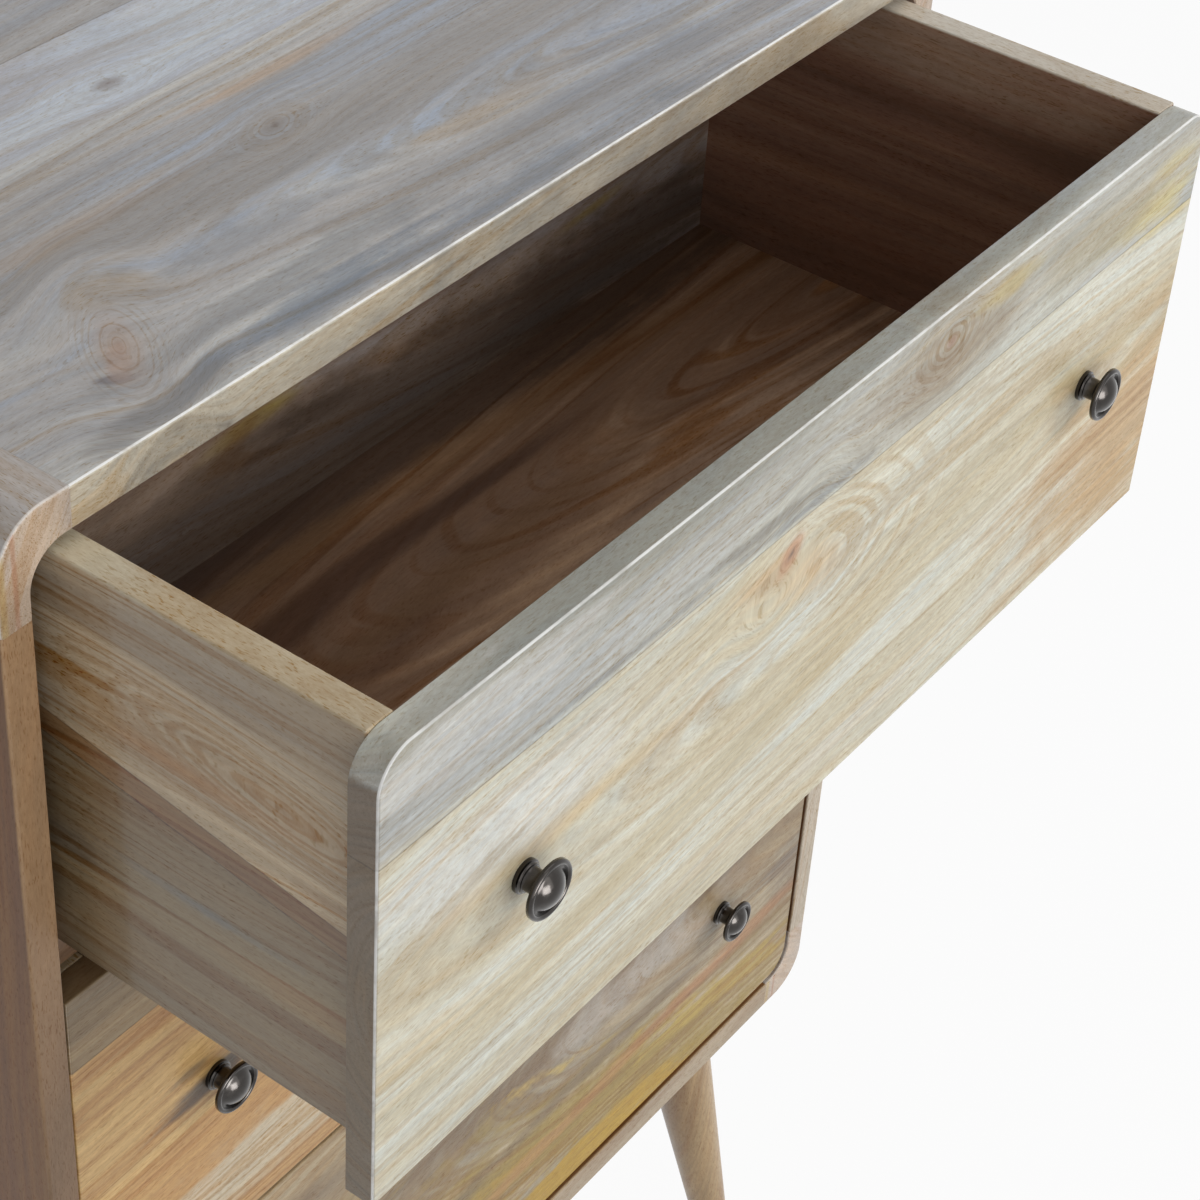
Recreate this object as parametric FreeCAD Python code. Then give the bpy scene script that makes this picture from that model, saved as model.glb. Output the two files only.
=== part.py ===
"""Chest of three drawers with rounded case corners on splayed, tapered legs.

Millimetres, +Z up, +X to the right seen from the front, +Y towards the back.
Every piece is laid out from the plane of the case's front edges (Y = 0) and is
moved at export, so that the origin lies on the floor in the middle of the chest's
outer box as it stands, with its top drawer part open.
"""

import FreeCAD, Part
import math
import os

from FreeCAD import Vector

# ---- case ----------------------------------------------------------------------
case_width = 720.0
case_depth = 360.0
side_thickness = 18.0
top_thickness = 22.0
bottom_thickness = 22.0
front_plank_width = 200.0  # the rear plank takes the rest of the depth
corner_width = 43.0  # corner block, along X
corner_height = 55.0  # corner block, along Z
corner_outer_radius = 28.0
corner_inner_radius = 21.0
front_edge_round = 1.5  # outer front edge of the case
inner_edge_round = 1.0  # inner front edge of the case
back_thickness = 6.0
back_lap = 9.0  # how far the back panel laps over the case edges
back_fit = 0.4  # play between the back panel and its rebate

# ---- drawers -------------------------------------------------------------------
drawer_names = ("top", "middle", "bottom")
front_height = 258.0
front_thickness = 16.0
front_corner_radius = 20.0  # case-side corners of the top and bottom fronts
front_edge_easing = 1.5
end_gap = 2.0  # drawer front to case side
top_gap = 5.0  # top front to the underside of the top
between_gap = 3.0  # front to front
bottom_gap = 3.0  # bottom front to bottom panel
front_setback = 1.5  # closed front behind the case edge
box_inset = 11.0  # drawer side in from the end of its front
box_side_thickness = 17.0
box_lift = 22.0  # lower edge of the box above the front's lower edge
box_top_round = 1.5
inner_length = 281.0  # clear length inside a drawer
inner_depth = 186.0  # top edge down to the drawer bottom
box_back_thickness = 14.0
back_lift = 2.0  # drawer back above the lower edge of the sides
panel_thickness = 8.0  # drawer bottom
groove_depth = 6.0
tongue_thickness = 8.0
tongue_length = 6.0
tongue_top_margin = 14.0
joint_fit = 0.1
rest_opening = 186.0  # how far the top drawer stands open

# ---- rails, runners, guides and stops ------------------------------------------
rail_thickness = 20.0
rail_depth = 45.0
rail_clearance = 0.5  # closed front to rail
running_gap = 0.3  # drawer side above its runner
runner_width = 34.0
guide_gap = 0.5  # drawer side to guide
guide_height = 18.0
stop_width = 40.0
stop_depth = 20.0
stop_height = 16.0
stop_spacing = 300.0  # between the two stops of a rail
stop_margin = 5.0  # stops in from the back edge of their rail

# ---- legs ----------------------------------------------------------------------
leg_height = 275.0
leg_top_radius = 28.5
leg_tip_radius = 13.5
leg_inset_x = 70.0  # leg axis at its top, in from the case side
leg_inset_y = 70.0  # leg axis at its top, in from the front and the back
leg_splay_deg = 8.3  # lean outwards, seen from the front and from the side
leg_tip_easing = 2.0
hanger_radius = 4.0
hanger_in_leg = 40.0
hanger_in_panel = 13.0
insert_radius = 7.0  # threaded insert round a hanger bolt
insert_length = 14.0

# ---- knobs: distances are from the face of the drawer front ----------------------
knob_from_end = 97.0
knob_from_top = 131.0
knob_flange_radius = 8.5
knob_flange_height = 2.2
knob_collar_radius = 7.3
knob_collar_height = 3.6
knob_stem_radius = 6.0
knob_neck_height = 8.8  # start of the head
knob_flare_radius = 9.6  # point that the underside of the head curves through
knob_flare_height = 10.8
knob_head_radius = 15.0
knob_rim_height = 14.0  # middle of the rolled rim
knob_rim_radius = 1.5
knob_underside_height = 12.8  # outer end of the underside
knob_dome_radius = 10.4
knob_dome_base = 14.4
knob_height = 19.2
knob_screw_radius = 2.0
knob_screw_in_knob = 7.0
knob_screw_head_radius = 4.0
knob_screw_head_height = 2.4

# ---- fasteners -----------------------------------------------------------------
fastener_fit = 0.05  # radial play of dowels and screws in their holes
hole_end_play = 0.5
dowel_radius = 4.0
dowel_length = 36.0
dowel_end_margin = 44.0  # rows of case dowels from front, back and plank joint
rail_dowel_in_side = 12.0
rail_dowel_margin = 12.0  # rail dowels from the front and back of a rail
screw_radius = 2.0
screw_head_radius = 4.0
screw_head_height = 2.4
screw_bite = 12.0  # length in the second piece
screw_margin = 60.0  # runner screws from the ends of a runner
back_screw_count_across = 4
back_screw_count_up = 4
back_screw_margin = 95.0  # end screws of each row from the outer corners
bounds_slack = 1.0  # for picking edges by the box that they lie in

# ---- derived places ------------------------------------------------------------
half_width = case_width / 2
inner_half = half_width - side_thickness
drawer_count = len(drawer_names)
case_height = (
    top_thickness
    + top_gap
    + drawer_count * front_height
    + (drawer_count - 1) * between_gap
    + bottom_gap
    + bottom_thickness
)
case_bottom = leg_height
case_top = case_bottom + case_height
floor_inside = case_bottom + bottom_thickness
ceiling_inside = case_top - top_thickness
panel_rear = case_depth - back_thickness
front_half = inner_half - end_gap
front_back_face = front_setback + front_thickness
rail_front = front_back_face + rail_clearance
rail_rear = rail_front + rail_depth
box_outer = front_half - box_inset
box_inner = box_outer - box_side_thickness
inner_back_face = front_back_face + inner_length
box_rear = inner_back_face + box_back_thickness
stop_rear = rail_rear - stop_margin  # the drawer backs meet this at full travel
guide_width = inner_half - box_outer - guide_gap
leg_lean = math.tan(math.radians(leg_splay_deg))
front_reach = front_setback - rest_opening - knob_height
origin_y = (front_reach + case_depth) / 2

CORNERS = (("front", "left"), ("front", "right"), ("back", "left"), ("back", "right"))
SIGN = {"left": -1, "right": 1}


def front_top(level):
    """Height of the upper edge of a drawer front; level 0 is the top drawer."""
    return ceiling_inside - top_gap - level * (front_height + between_gap)


def runner_top(level):
    """Height of the surface that a drawer's sides slide on."""
    return front_top(level) - front_height + box_lift - running_gap


def rail_bottom(level):
    """Height of a rail's underside; the lowest rail lies on the bottom panel."""
    if level == drawer_count - 1:
        return floor_inside
    return runner_top(level) - rail_thickness


def opening(level):
    """How far a drawer is pulled out as the chest stands."""
    return rest_opening if level == 0 else 0.0


# ---- shapes --------------------------------------------------------------------


def box(x_range, y_range, z_range):
    """Block between two limits along each axis."""
    x0, x1 = sorted(x_range)
    y0, y1 = sorted(y_range)
    z0, z1 = sorted(z_range)
    return Part.makeBox(x1 - x0, y1 - y0, z1 - z0, Vector(x0, y0, z0))


def rod(start, direction, length, radius):
    """Round bar from a point along a direction."""
    return Part.makeCylinder(radius, length, Vector(*start), Vector(*direction))


def rounded_prism(half, z_range, y_range, upper_radius, lower_radius):
    """Block centred on X = 0 whose corners, seen from the front, are rounded."""
    z0, z1 = z_range
    y0, y1 = y_range
    corners = (
        (half, z0, lower_radius, (0, 1), (-1, 0)),
        (half, z1, upper_radius, (-1, 0), (0, -1)),
        (-half, z1, upper_radius, (0, -1), (1, 0)),
        (-half, z0, lower_radius, (1, 0), (0, 1)),
    )
    slant = 1 - math.sqrt(0.5)
    edges = []
    last = None
    first = None
    for x, z, radius, leaving, arriving in corners:
        start = Vector(x + arriving[0] * radius, y0, z + arriving[1] * radius)
        end = Vector(x + leaving[0] * radius, y0, z + leaving[1] * radius)
        if last is None:
            first = start
        else:
            edges.append(Part.makeLine(last, start))
        if radius > 0:
            inwards_x = leaving[0] + arriving[0]
            inwards_z = leaving[1] + arriving[1]
            middle = Vector(x + inwards_x * radius * slant, y0, z + inwards_z * radius * slant)
            edges.append(Part.Arc(start, middle, end).toShape())
        last = end
    edges.append(Part.makeLine(last, first))
    return Part.Face(Part.Wire(edges)).extrude(Vector(0, y1 - y0, 0))


def edges_in_plane(shape, y):
    """Edges that lie wholly in the plane Y = y."""
    return [
        edge for edge in shape.Edges
        if all(abs(vertex.Y - y) < Part.Precision.confusion() for vertex in edge.Vertexes)
    ]


def joined(shapes):
    """Separate solids kept together as one piece of the export."""
    return Part.makeCompound(shapes)


def without(shape, tools):
    """Shape with every tool cut out of it."""
    return shape.cut(joined(tools)) if tools else shape


# ---- fasteners -----------------------------------------------------------------


def dowel(start, direction, length):
    """Wooden dowel."""
    return rod(start, direction, length, dowel_radius)


def dowel_hole(start, direction, length):
    """Hole for a dowel, with play round it and at both ends."""
    way = Vector(*direction)
    begin = Vector(*start) - way * hole_end_play
    return Part.makeCylinder(dowel_radius + fastener_fit, length + 2 * hole_end_play, begin, way)


def screw(start, direction, length, play=0.0):
    """Countersunk screw with its head's face at the start; play makes its hole."""
    way = Vector(*direction)
    origin = Vector(*start)
    shank = Part.makeCylinder(screw_radius + play, length + play, origin, way)
    head = Part.makeCone(screw_head_radius + play, screw_radius + play, screw_head_height, origin, way)
    return shank.fuse(head)


def case_dowel_lines():
    """Start, direction and length of every dowel in the corners and rail ends."""
    lines = []
    rows = (
        dowel_end_margin,
        front_plank_width - dowel_end_margin,
        front_plank_width + dowel_end_margin,
        case_depth - dowel_end_margin,
    )
    half_dowel = dowel_length / 2
    for side in SIGN.values():
        joint_x = side * (half_width - corner_width)
        side_x = side * (half_width - side_thickness / 2)
        for y in rows:
            for z in (case_top - top_thickness / 2, case_bottom + bottom_thickness / 2):
                lines.append(((joint_x - half_dowel, y, z), (1, 0, 0), dowel_length))
            for z in (case_top - corner_height, case_bottom + corner_height):
                lines.append(((side_x, y, z - half_dowel), (0, 0, 1), dowel_length))
        for level in range(drawer_count):
            z = (rail_bottom(level) + runner_top(level)) / 2
            for y in (rail_front + rail_dowel_margin, rail_rear - rail_dowel_margin):
                start = (side * (inner_half + rail_dowel_in_side), y, z)
                lines.append((start, (-side, 0, 0), dowel_length))
    return lines


def runner_screw_lines():
    """Start, direction and length of the screws through runners and guides."""
    lines = []
    rows = (rail_rear + screw_margin, panel_rear - screw_margin)
    for side in SIGN.values():
        for level in range(drawer_count):
            runner_z = (rail_bottom(level) + runner_top(level)) / 2
            guide_z = runner_top(level) + guide_height / 2
            for z, width in ((runner_z, runner_width), (guide_z, guide_width)):
                for y in rows:
                    start = (side * (inner_half - width), y, z)
                    lines.append((start, (side, 0, 0), width + screw_bite))
    return lines


def evenly(low, high, count):
    """Places spread evenly from the first to the last."""
    return [low + (high - low) * index / (count - 1) for index in range(count)]


def back_screw_lines():
    """Start, direction and length of the screws round the back panel."""
    reach = half_width - back_screw_margin
    side_x = inner_half + back_lap / 2
    places = []
    for x in evenly(-reach, reach, back_screw_count_across):
        places += [(x, floor_inside - back_lap / 2), (x, ceiling_inside + back_lap / 2)]
    for z in evenly(case_bottom + back_screw_margin, case_top - back_screw_margin, back_screw_count_up):
        places += [(-side_x, z), (side_x, z)]
    length = back_thickness + screw_bite
    return [((x, case_depth, z), (0, -1, 0), length) for x, z in places]


def stop_places():
    """X of the middle of each stop on a rail."""
    return (-stop_spacing / 2, stop_spacing / 2)


def stop_screw_lines():
    """Start, direction and length of the screws down through the stops."""
    lines = []
    y = stop_rear - stop_depth / 2
    for level in range(drawer_count):
        for x in stop_places():
            start = (x, y, runner_top(level) + stop_height)
            lines.append((start, (0, 0, -1), stop_height + screw_bite))
    return lines


def leg_top_point(end, hand):
    """Where a leg's axis meets the underside of the bottom panel."""
    x = SIGN[hand] * (half_width - leg_inset_x)
    y = leg_inset_y if end == "front" else case_depth - leg_inset_y
    return Vector(x, y, case_bottom)


def leg_direction(end, hand):
    """Unit vector down along a leg's axis."""
    away = -leg_lean if end == "front" else leg_lean
    return Vector(SIGN[hand] * leg_lean, away, -1).normalize()


def hanger_bolt(end, hand, play=0.0):
    """Bolt along a leg's axis, from inside the leg into the bottom panel."""
    down = leg_direction(end, hand)
    start = leg_top_point(end, hand) - down * (hanger_in_panel + play)
    length = hanger_in_panel + hanger_in_leg + 2 * play
    return Part.makeCylinder(hanger_radius + play, length, start, down)


def leg_insert(end, hand, play=0.0):
    """Threaded insert in the bottom panel, its mouth flush with the underside."""
    down = leg_direction(end, hand)
    start = leg_top_point(end, hand) - down * (insert_length + play)
    length = insert_length + play + insert_radius
    sleeve = Part.makeCylinder(insert_radius + play, length, start, down)
    reach = case_width
    return sleeve.common(box((-reach, reach), (-reach, reach), (case_bottom, case_top)))


dowels = [dowel(*line) for line in case_dowel_lines()]
dowel_holes = [dowel_hole(*line) for line in case_dowel_lines()]
runner_screws = [screw(*line) for line in runner_screw_lines()]
runner_holes = [screw(*line, play=fastener_fit) for line in runner_screw_lines()]
back_screws = [screw(*line) for line in back_screw_lines()]
back_holes = [screw(*line, play=fastener_fit) for line in back_screw_lines()]
stop_screws = [screw(*line) for line in stop_screw_lines()]
stop_holes = [screw(*line, play=fastener_fit) for line in stop_screw_lines()]
hanger_bolts = [hanger_bolt(end, hand) for end, hand in CORNERS]
hanger_holes = [hanger_bolt(end, hand, fastener_fit) for end, hand in CORNERS]
leg_inserts = [leg_insert(end, hand).cut(joined(hanger_holes)) for end, hand in CORNERS]
insert_holes = [leg_insert(end, hand, fastener_fit) for end, hand in CORNERS]

# ---- case ----------------------------------------------------------------------


def interior(y_range, grow=0.0):
    """Space inside the case, from one depth to another."""
    return rounded_prism(
        inner_half + grow,
        (floor_inside - grow, ceiling_inside + grow),
        y_range,
        corner_inner_radius + grow,
        corner_inner_radius + grow,
    )


def case_shell():
    """Top, bottom, sides and corners as one ring, before it is parted."""
    ring = rounded_prism(
        half_width,
        (case_bottom, case_top),
        (0, case_depth),
        corner_outer_radius,
        corner_outer_radius,
    )
    ring = ring.makeFillet(front_edge_round, edges_in_plane(ring, 0))
    space = interior((0, case_depth))
    ring = ring.cut(space)
    near = space.BoundBox
    near.enlarge(bounds_slack)
    inner_edges = [edge for edge in edges_in_plane(ring, 0) if near.isInside(edge.BoundBox)]
    ring = ring.makeFillet(inner_edge_round, inner_edges)
    ring = ring.cut(interior((panel_rear, case_depth), back_lap))
    return without(ring, dowel_holes + back_holes)


def case_pieces():
    """Planks, side panels and corner blocks, parted along the case joints."""
    shell = case_shell()
    block_half = half_width - corner_width
    high = case_top - corner_height
    low = case_bottom + corner_height
    whole = (0, case_depth)
    plank_z = (high, case_top)
    pieces = {
        "top_plank_front": box((-block_half, block_half), (0, front_plank_width), plank_z),
        "top_plank_back": box((-block_half, block_half), (front_plank_width, case_depth), plank_z),
        "bottom_panel": box((-block_half, block_half), whole, (case_bottom, low)),
    }
    for hand, side in SIGN.items():
        block_x = (side * block_half, side * half_width)
        pieces["side_panel_" + hand] = box(block_x, whole, (low, high))
        pieces["corner_block_top_" + hand] = box(block_x, whole, plank_z)
        pieces["corner_block_bottom_" + hand] = box(block_x, whole, (case_bottom, low))
    pieces = {name: shell.common(region) for name, region in pieces.items()}
    pieces["bottom_panel"] = without(pieces["bottom_panel"], insert_holes)
    for hand in SIGN:
        for name in ("side_panel_" + hand, "corner_block_bottom_" + hand):
            pieces[name] = without(pieces[name], runner_holes)
    return pieces


def back_panel():
    """Panel in the rebate at the rear of the case."""
    return without(interior((panel_rear, case_depth), back_lap - back_fit), back_holes)


def front_rail(level):
    """Rail under a drawer box, from side to side behind the drawer fronts."""
    bar = box(
        (-inner_half, inner_half),
        (rail_front, rail_rear),
        (rail_bottom(level), runner_top(level)),
    )
    return without(bar.common(interior((0, case_depth))), dowel_holes + stop_holes)


def runner(level, side):
    """Strip that a drawer side slides on, behind the rail."""
    strip = box(
        (side * (inner_half - runner_width), side * inner_half),
        (rail_rear, panel_rear),
        (rail_bottom(level), runner_top(level)),
    )
    return without(strip.common(interior((0, case_depth))), runner_holes)


def guide(level, side):
    """Strip beside a drawer that keeps it straight."""
    strip = box(
        (side * (inner_half - guide_width), side * inner_half),
        (rail_front, panel_rear),
        (runner_top(level), runner_top(level) + guide_height),
    )
    return without(strip, runner_holes)


def drawer_stops():
    """Blocks on the rails that catch the drawer backs."""
    blocks = []
    for level in range(drawer_count):
        base = runner_top(level)
        for x in stop_places():
            block = box(
                (x - stop_width / 2, x + stop_width / 2),
                (stop_rear - stop_depth, stop_rear),
                (base, base + stop_height),
            )
            blocks.append(without(block, stop_holes))
    return joined(blocks)


# ---- legs ----------------------------------------------------------------------


def leg(end, hand):
    """Turned leg, tapered and splayed, cut level at its top and at the floor."""
    down = leg_direction(end, hand)
    head = leg_top_point(end, hand)
    axis_length = leg_height / abs(down.z)
    spare = leg_top_radius  # extra length at both ends, for the level cuts
    taper = (leg_top_radius - leg_tip_radius) / axis_length
    cone = Part.makeCone(
        leg_top_radius + taper * spare,
        leg_tip_radius - taper * spare,
        axis_length + 2 * spare,
        head - down * spare,
        down,
    )
    reach = case_width
    turned = cone.common(box((-reach, reach), (-reach, reach), (0, case_bottom)))
    near_floor = [edge for edge in turned.Edges if edge.BoundBox.ZMax < bounds_slack]
    turned = turned.makeChamfer(leg_tip_easing, near_floor)
    return without(turned, hanger_holes)


# ---- drawers -------------------------------------------------------------------


def knob_screw(x, z, play=0.0):
    """Machine screw from inside the drawer into a knob."""
    face = front_back_face
    length = front_thickness + knob_screw_in_knob
    shank = rod((x, face + play, z), (0, -1, 0), length + 2 * play, knob_screw_radius + play)
    head = rod((x, face, z), (0, 1, 0), knob_screw_head_height, knob_screw_head_radius)
    return shank if play else shank.fuse(head)


def knob_places(level):
    """X and Z of the two knobs of a drawer."""
    x = front_half - knob_from_end
    z = front_top(level) - knob_from_top
    return {"left": (-x, z), "right": (x, z)}


def knob_profile():
    """Half section of a knob as radius and distance from the drawer front.

    Each entry is the point that the outline goes to, and the point that it curves
    through on the way, or None where it runs straight.
    """
    rim_middle = knob_head_radius - knob_rim_radius
    dome_rise = knob_height - knob_dome_base
    dome_sphere = (knob_dome_radius ** 2 + dome_rise ** 2) / (2 * dome_rise)
    half_angle = math.asin(knob_dome_radius / dome_sphere) / 2
    dome_via = (
        dome_sphere * math.sin(half_angle),
        knob_height - dome_sphere * (1 - math.cos(half_angle)),
    )
    return (
        ((knob_flange_radius, 0), None),
        ((knob_flange_radius, knob_flange_height), None),
        ((knob_collar_radius, knob_flange_height), None),
        ((knob_collar_radius, knob_collar_height), None),
        ((knob_stem_radius, knob_collar_height), None),
        ((knob_stem_radius, knob_neck_height), None),
        ((knob_head_radius, knob_underside_height), (knob_flare_radius, knob_flare_height)),
        ((knob_head_radius, knob_rim_height), None),
        ((rim_middle - knob_rim_radius, knob_rim_height), (rim_middle, knob_rim_height + knob_rim_radius)),
        ((knob_dome_radius, knob_dome_base), None),
        ((0, knob_height), dome_via),
        ((0, 0), None),
    )


def knob(x, z):
    """Turned metal knob: collar, stem and a head with a rolled rim and a domed crown."""
    edges = []
    here = Vector(0, 0, 0)
    for (radius, reach), via in knob_profile():
        there = Vector(radius, -reach, 0)
        if via:
            edges.append(Part.Arc(here, Vector(via[0], -via[1], 0), there).toShape())
        else:
            edges.append(Part.makeLine(here, there))
        here = there
    turned = Part.Face(Part.Wire(edges)).revolve(Vector(0, 0, 0), Vector(0, 1, 0), 360)
    turned = turned.translated(Vector(x, front_setback, z))
    return turned.cut(knob_screw(x, z, fastener_fit))


def drawer_front(level):
    """Drawer front; its corners follow the case at the top and at the bottom."""
    top = front_top(level)
    upper = front_corner_radius if level == 0 else 0.0
    lower = front_corner_radius if level == drawer_count - 1 else 0.0
    panel = rounded_prism(
        front_half,
        (top - front_height, top),
        (front_setback, front_back_face),
        upper,
        lower,
    )
    panel = panel.makeFillet(front_edge_easing, edges_in_plane(panel, front_setback))
    cuts = [knob_screw(x, z, fastener_fit) for x, z in knob_places(level).values()]
    cuts += [box_tongue(level, side, joint_fit) for side in SIGN.values()]
    cuts.append(bottom_board(level, joint_fit))
    return without(panel, cuts)


def box_z(level):
    """Lower and upper edge of the drawer sides."""
    top = front_top(level)
    return (top - front_height + box_lift, top)


def box_tongue(level, side, play=0.0):
    """Tongue of a drawer side in the back of the front."""
    low, high = box_z(level)
    centre = side * (box_outer + box_inner) / 2
    half = tongue_thickness / 2 + play
    return box(
        (centre - half, centre + half),
        (front_back_face - tongue_length - play, front_back_face),
        (low - play, high - tongue_top_margin + play),
    )


def bottom_board(level, play=0.0):
    """Drawer bottom, let into all four walls."""
    reach = groove_depth - joint_fit + play
    top = front_top(level) - inner_depth
    return box(
        (-box_inner - reach, box_inner + reach),
        (front_back_face - reach, inner_back_face + reach),
        (top - panel_thickness - play, top + play),
    )


def drawer_back(level, play=0.0):
    """Drawer back, housed in the sides."""
    low, high = box_z(level)
    reach = groove_depth - joint_fit + play
    board = box(
        (-box_inner - reach, box_inner + reach),
        (inner_back_face - play, box_rear + play),
        (low + back_lift - play, high + play),
    )
    return board if play else without(board, [bottom_board(level, joint_fit)])


def drawer_side(level, side):
    """Drawer side with its tongue, its groove and the housing for the back."""
    low, high = box_z(level)
    board = box((side * box_inner, side * box_outer), (front_back_face, box_rear), (low, high))
    top_edges = [
        edge for edge in board.Edges
        if edge.BoundBox.ZMin > high - bounds_slack and edge.BoundBox.YLength > box_side_thickness
    ]
    board = board.makeFillet(box_top_round, top_edges)
    board = board.fuse(box_tongue(level, side))
    return without(board, [bottom_board(level, joint_fit), drawer_back(level, joint_fit)])


def drawer_pieces(level):
    """All pieces of one drawer, pulled out as far as it stands."""
    name = drawer_names[level]
    pieces = {
        "drawer_front_" + name: drawer_front(level),
        "drawer_back_" + name: drawer_back(level),
        "drawer_bottom_" + name: bottom_board(level),
    }
    screws = []
    for hand, (x, z) in knob_places(level).items():
        pieces["drawer_side_" + hand + "_" + name] = drawer_side(level, SIGN[hand])
        pieces["knob_" + hand + "_" + name] = knob(x, z)
        screws.append(knob_screw(x, z))
    pieces["knob_screws_" + name] = joined(screws)
    pulled = Vector(0, -opening(level), 0)
    return {piece: shape.translated(pulled) for piece, shape in pieces.items()}


# ---- export --------------------------------------------------------------------


def all_pieces():
    """Every node of the chest, by name."""
    pieces = case_pieces()
    pieces["back_panel"] = back_panel()
    for level, name in enumerate(drawer_names):
        pieces["rail_" + name] = front_rail(level)
        for hand, side in SIGN.items():
            pieces["runner_" + name + "_" + hand] = runner(level, side)
            pieces["guide_" + name + "_" + hand] = guide(level, side)
        pieces.update(drawer_pieces(level))
    for end, hand in CORNERS:
        pieces["leg_" + end + "_" + hand] = leg(end, hand)
    pieces["leg_hanger_bolts"] = joined(hanger_bolts)
    pieces["leg_inserts"] = joined(leg_inserts)
    pieces["drawer_stops"] = drawer_stops()
    pieces["stop_screws"] = joined(stop_screws)
    pieces["runner_screws"] = joined(runner_screws)
    pieces["back_panel_screws"] = joined(back_screws)
    pieces["case_dowels"] = joined(dowels)
    return pieces


os.makedirs("parts", exist_ok=True)
for node, shape in all_pieces().items():
    placed = shape.translated(Vector(0, -origin_y, 0))
    placed.exportStep("parts/" + node + ".step")
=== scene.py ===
"""Looks of a wooden chest of drawers: boards, turned legs, knobs, screws and the studio round them.

Everything is in metres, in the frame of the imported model: +Z up, +X to the right seen
from the front, +Y towards the back.
"""

import logging
import math
from dataclasses import astuple, dataclass, replace
from enum import Enum
from typing import Optional, Sequence, Union

import bmesh
import bpy
from mathutils import Matrix, Vector


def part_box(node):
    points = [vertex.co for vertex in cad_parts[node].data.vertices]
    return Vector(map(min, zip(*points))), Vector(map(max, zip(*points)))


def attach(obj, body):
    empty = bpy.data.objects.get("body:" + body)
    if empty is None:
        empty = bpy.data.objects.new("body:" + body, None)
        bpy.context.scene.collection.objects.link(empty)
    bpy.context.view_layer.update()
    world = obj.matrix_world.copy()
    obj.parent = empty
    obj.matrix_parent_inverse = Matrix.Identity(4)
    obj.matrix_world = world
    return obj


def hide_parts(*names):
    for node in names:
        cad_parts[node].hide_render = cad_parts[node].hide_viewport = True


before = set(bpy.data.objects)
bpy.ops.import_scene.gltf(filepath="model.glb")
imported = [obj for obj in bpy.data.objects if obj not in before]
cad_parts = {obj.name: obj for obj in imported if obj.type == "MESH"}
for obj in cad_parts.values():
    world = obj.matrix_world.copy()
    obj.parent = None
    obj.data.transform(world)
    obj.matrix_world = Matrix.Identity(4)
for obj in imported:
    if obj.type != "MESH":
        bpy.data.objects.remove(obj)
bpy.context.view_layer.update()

logging.basicConfig(level=logging.INFO, format="%(name)s: %(message)s")
log = logging.getLogger("chest")

MM = 0.001
SHARP = math.radians(40)  # faces that meet at more than this meet in a sharp edge
RIGHT_ANGLE = 90
SAME_PLACE = 0.000001  # points closer than this are one point

FRONT_ROUNDING = 20 * MM  # radius of the outer corners of the stack of drawer fronts

LEVELS = ("top", "middle", "bottom")
HANDS = ("left", "right")
NOISE_MIDDLE = 0.5

# a paint chart's values rise by a short straight foot and then by a power
CHART_FULL = 255
FOOT_END = 0.04045
FOOT_SLOPE = 12.92
CURVE_LIFT = 0.055
CURVE_POWER = 2.4

Colour = tuple[float, float, float]
Point = tuple[float, float, float]
Flat = tuple[float, float]
Value = Union["Reading", int, float]
Hue = Union["Reading", Colour]
Finish = Union["WoodFinish", "MetalFinish"]


def dye(red: int, green: int, blue: int) -> Colour:
    """Linear colour from the 0 to 255 values of a paint chart.

    Args:
        red: red of the chart.
        green: green of the chart.
        blue: blue of the chart.

    Returns:
        The three linear shares, each from 0 to 1.
    """

    def linear(value: int) -> float:
        """Linear share of one value.

        Args:
            value: the value on the chart.

        Returns:
            Its share, from 0 to 1.
        """
        share = value / CHART_FULL
        if share <= FOOT_END:
            return share / FOOT_SLOPE
        return ((share + CURVE_LIFT) / (1 + CURVE_LIFT)) ** CURVE_POWER

    return linear(red), linear(green), linear(blue)


# ---- node trees ------------------------------------------------------------------


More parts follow.
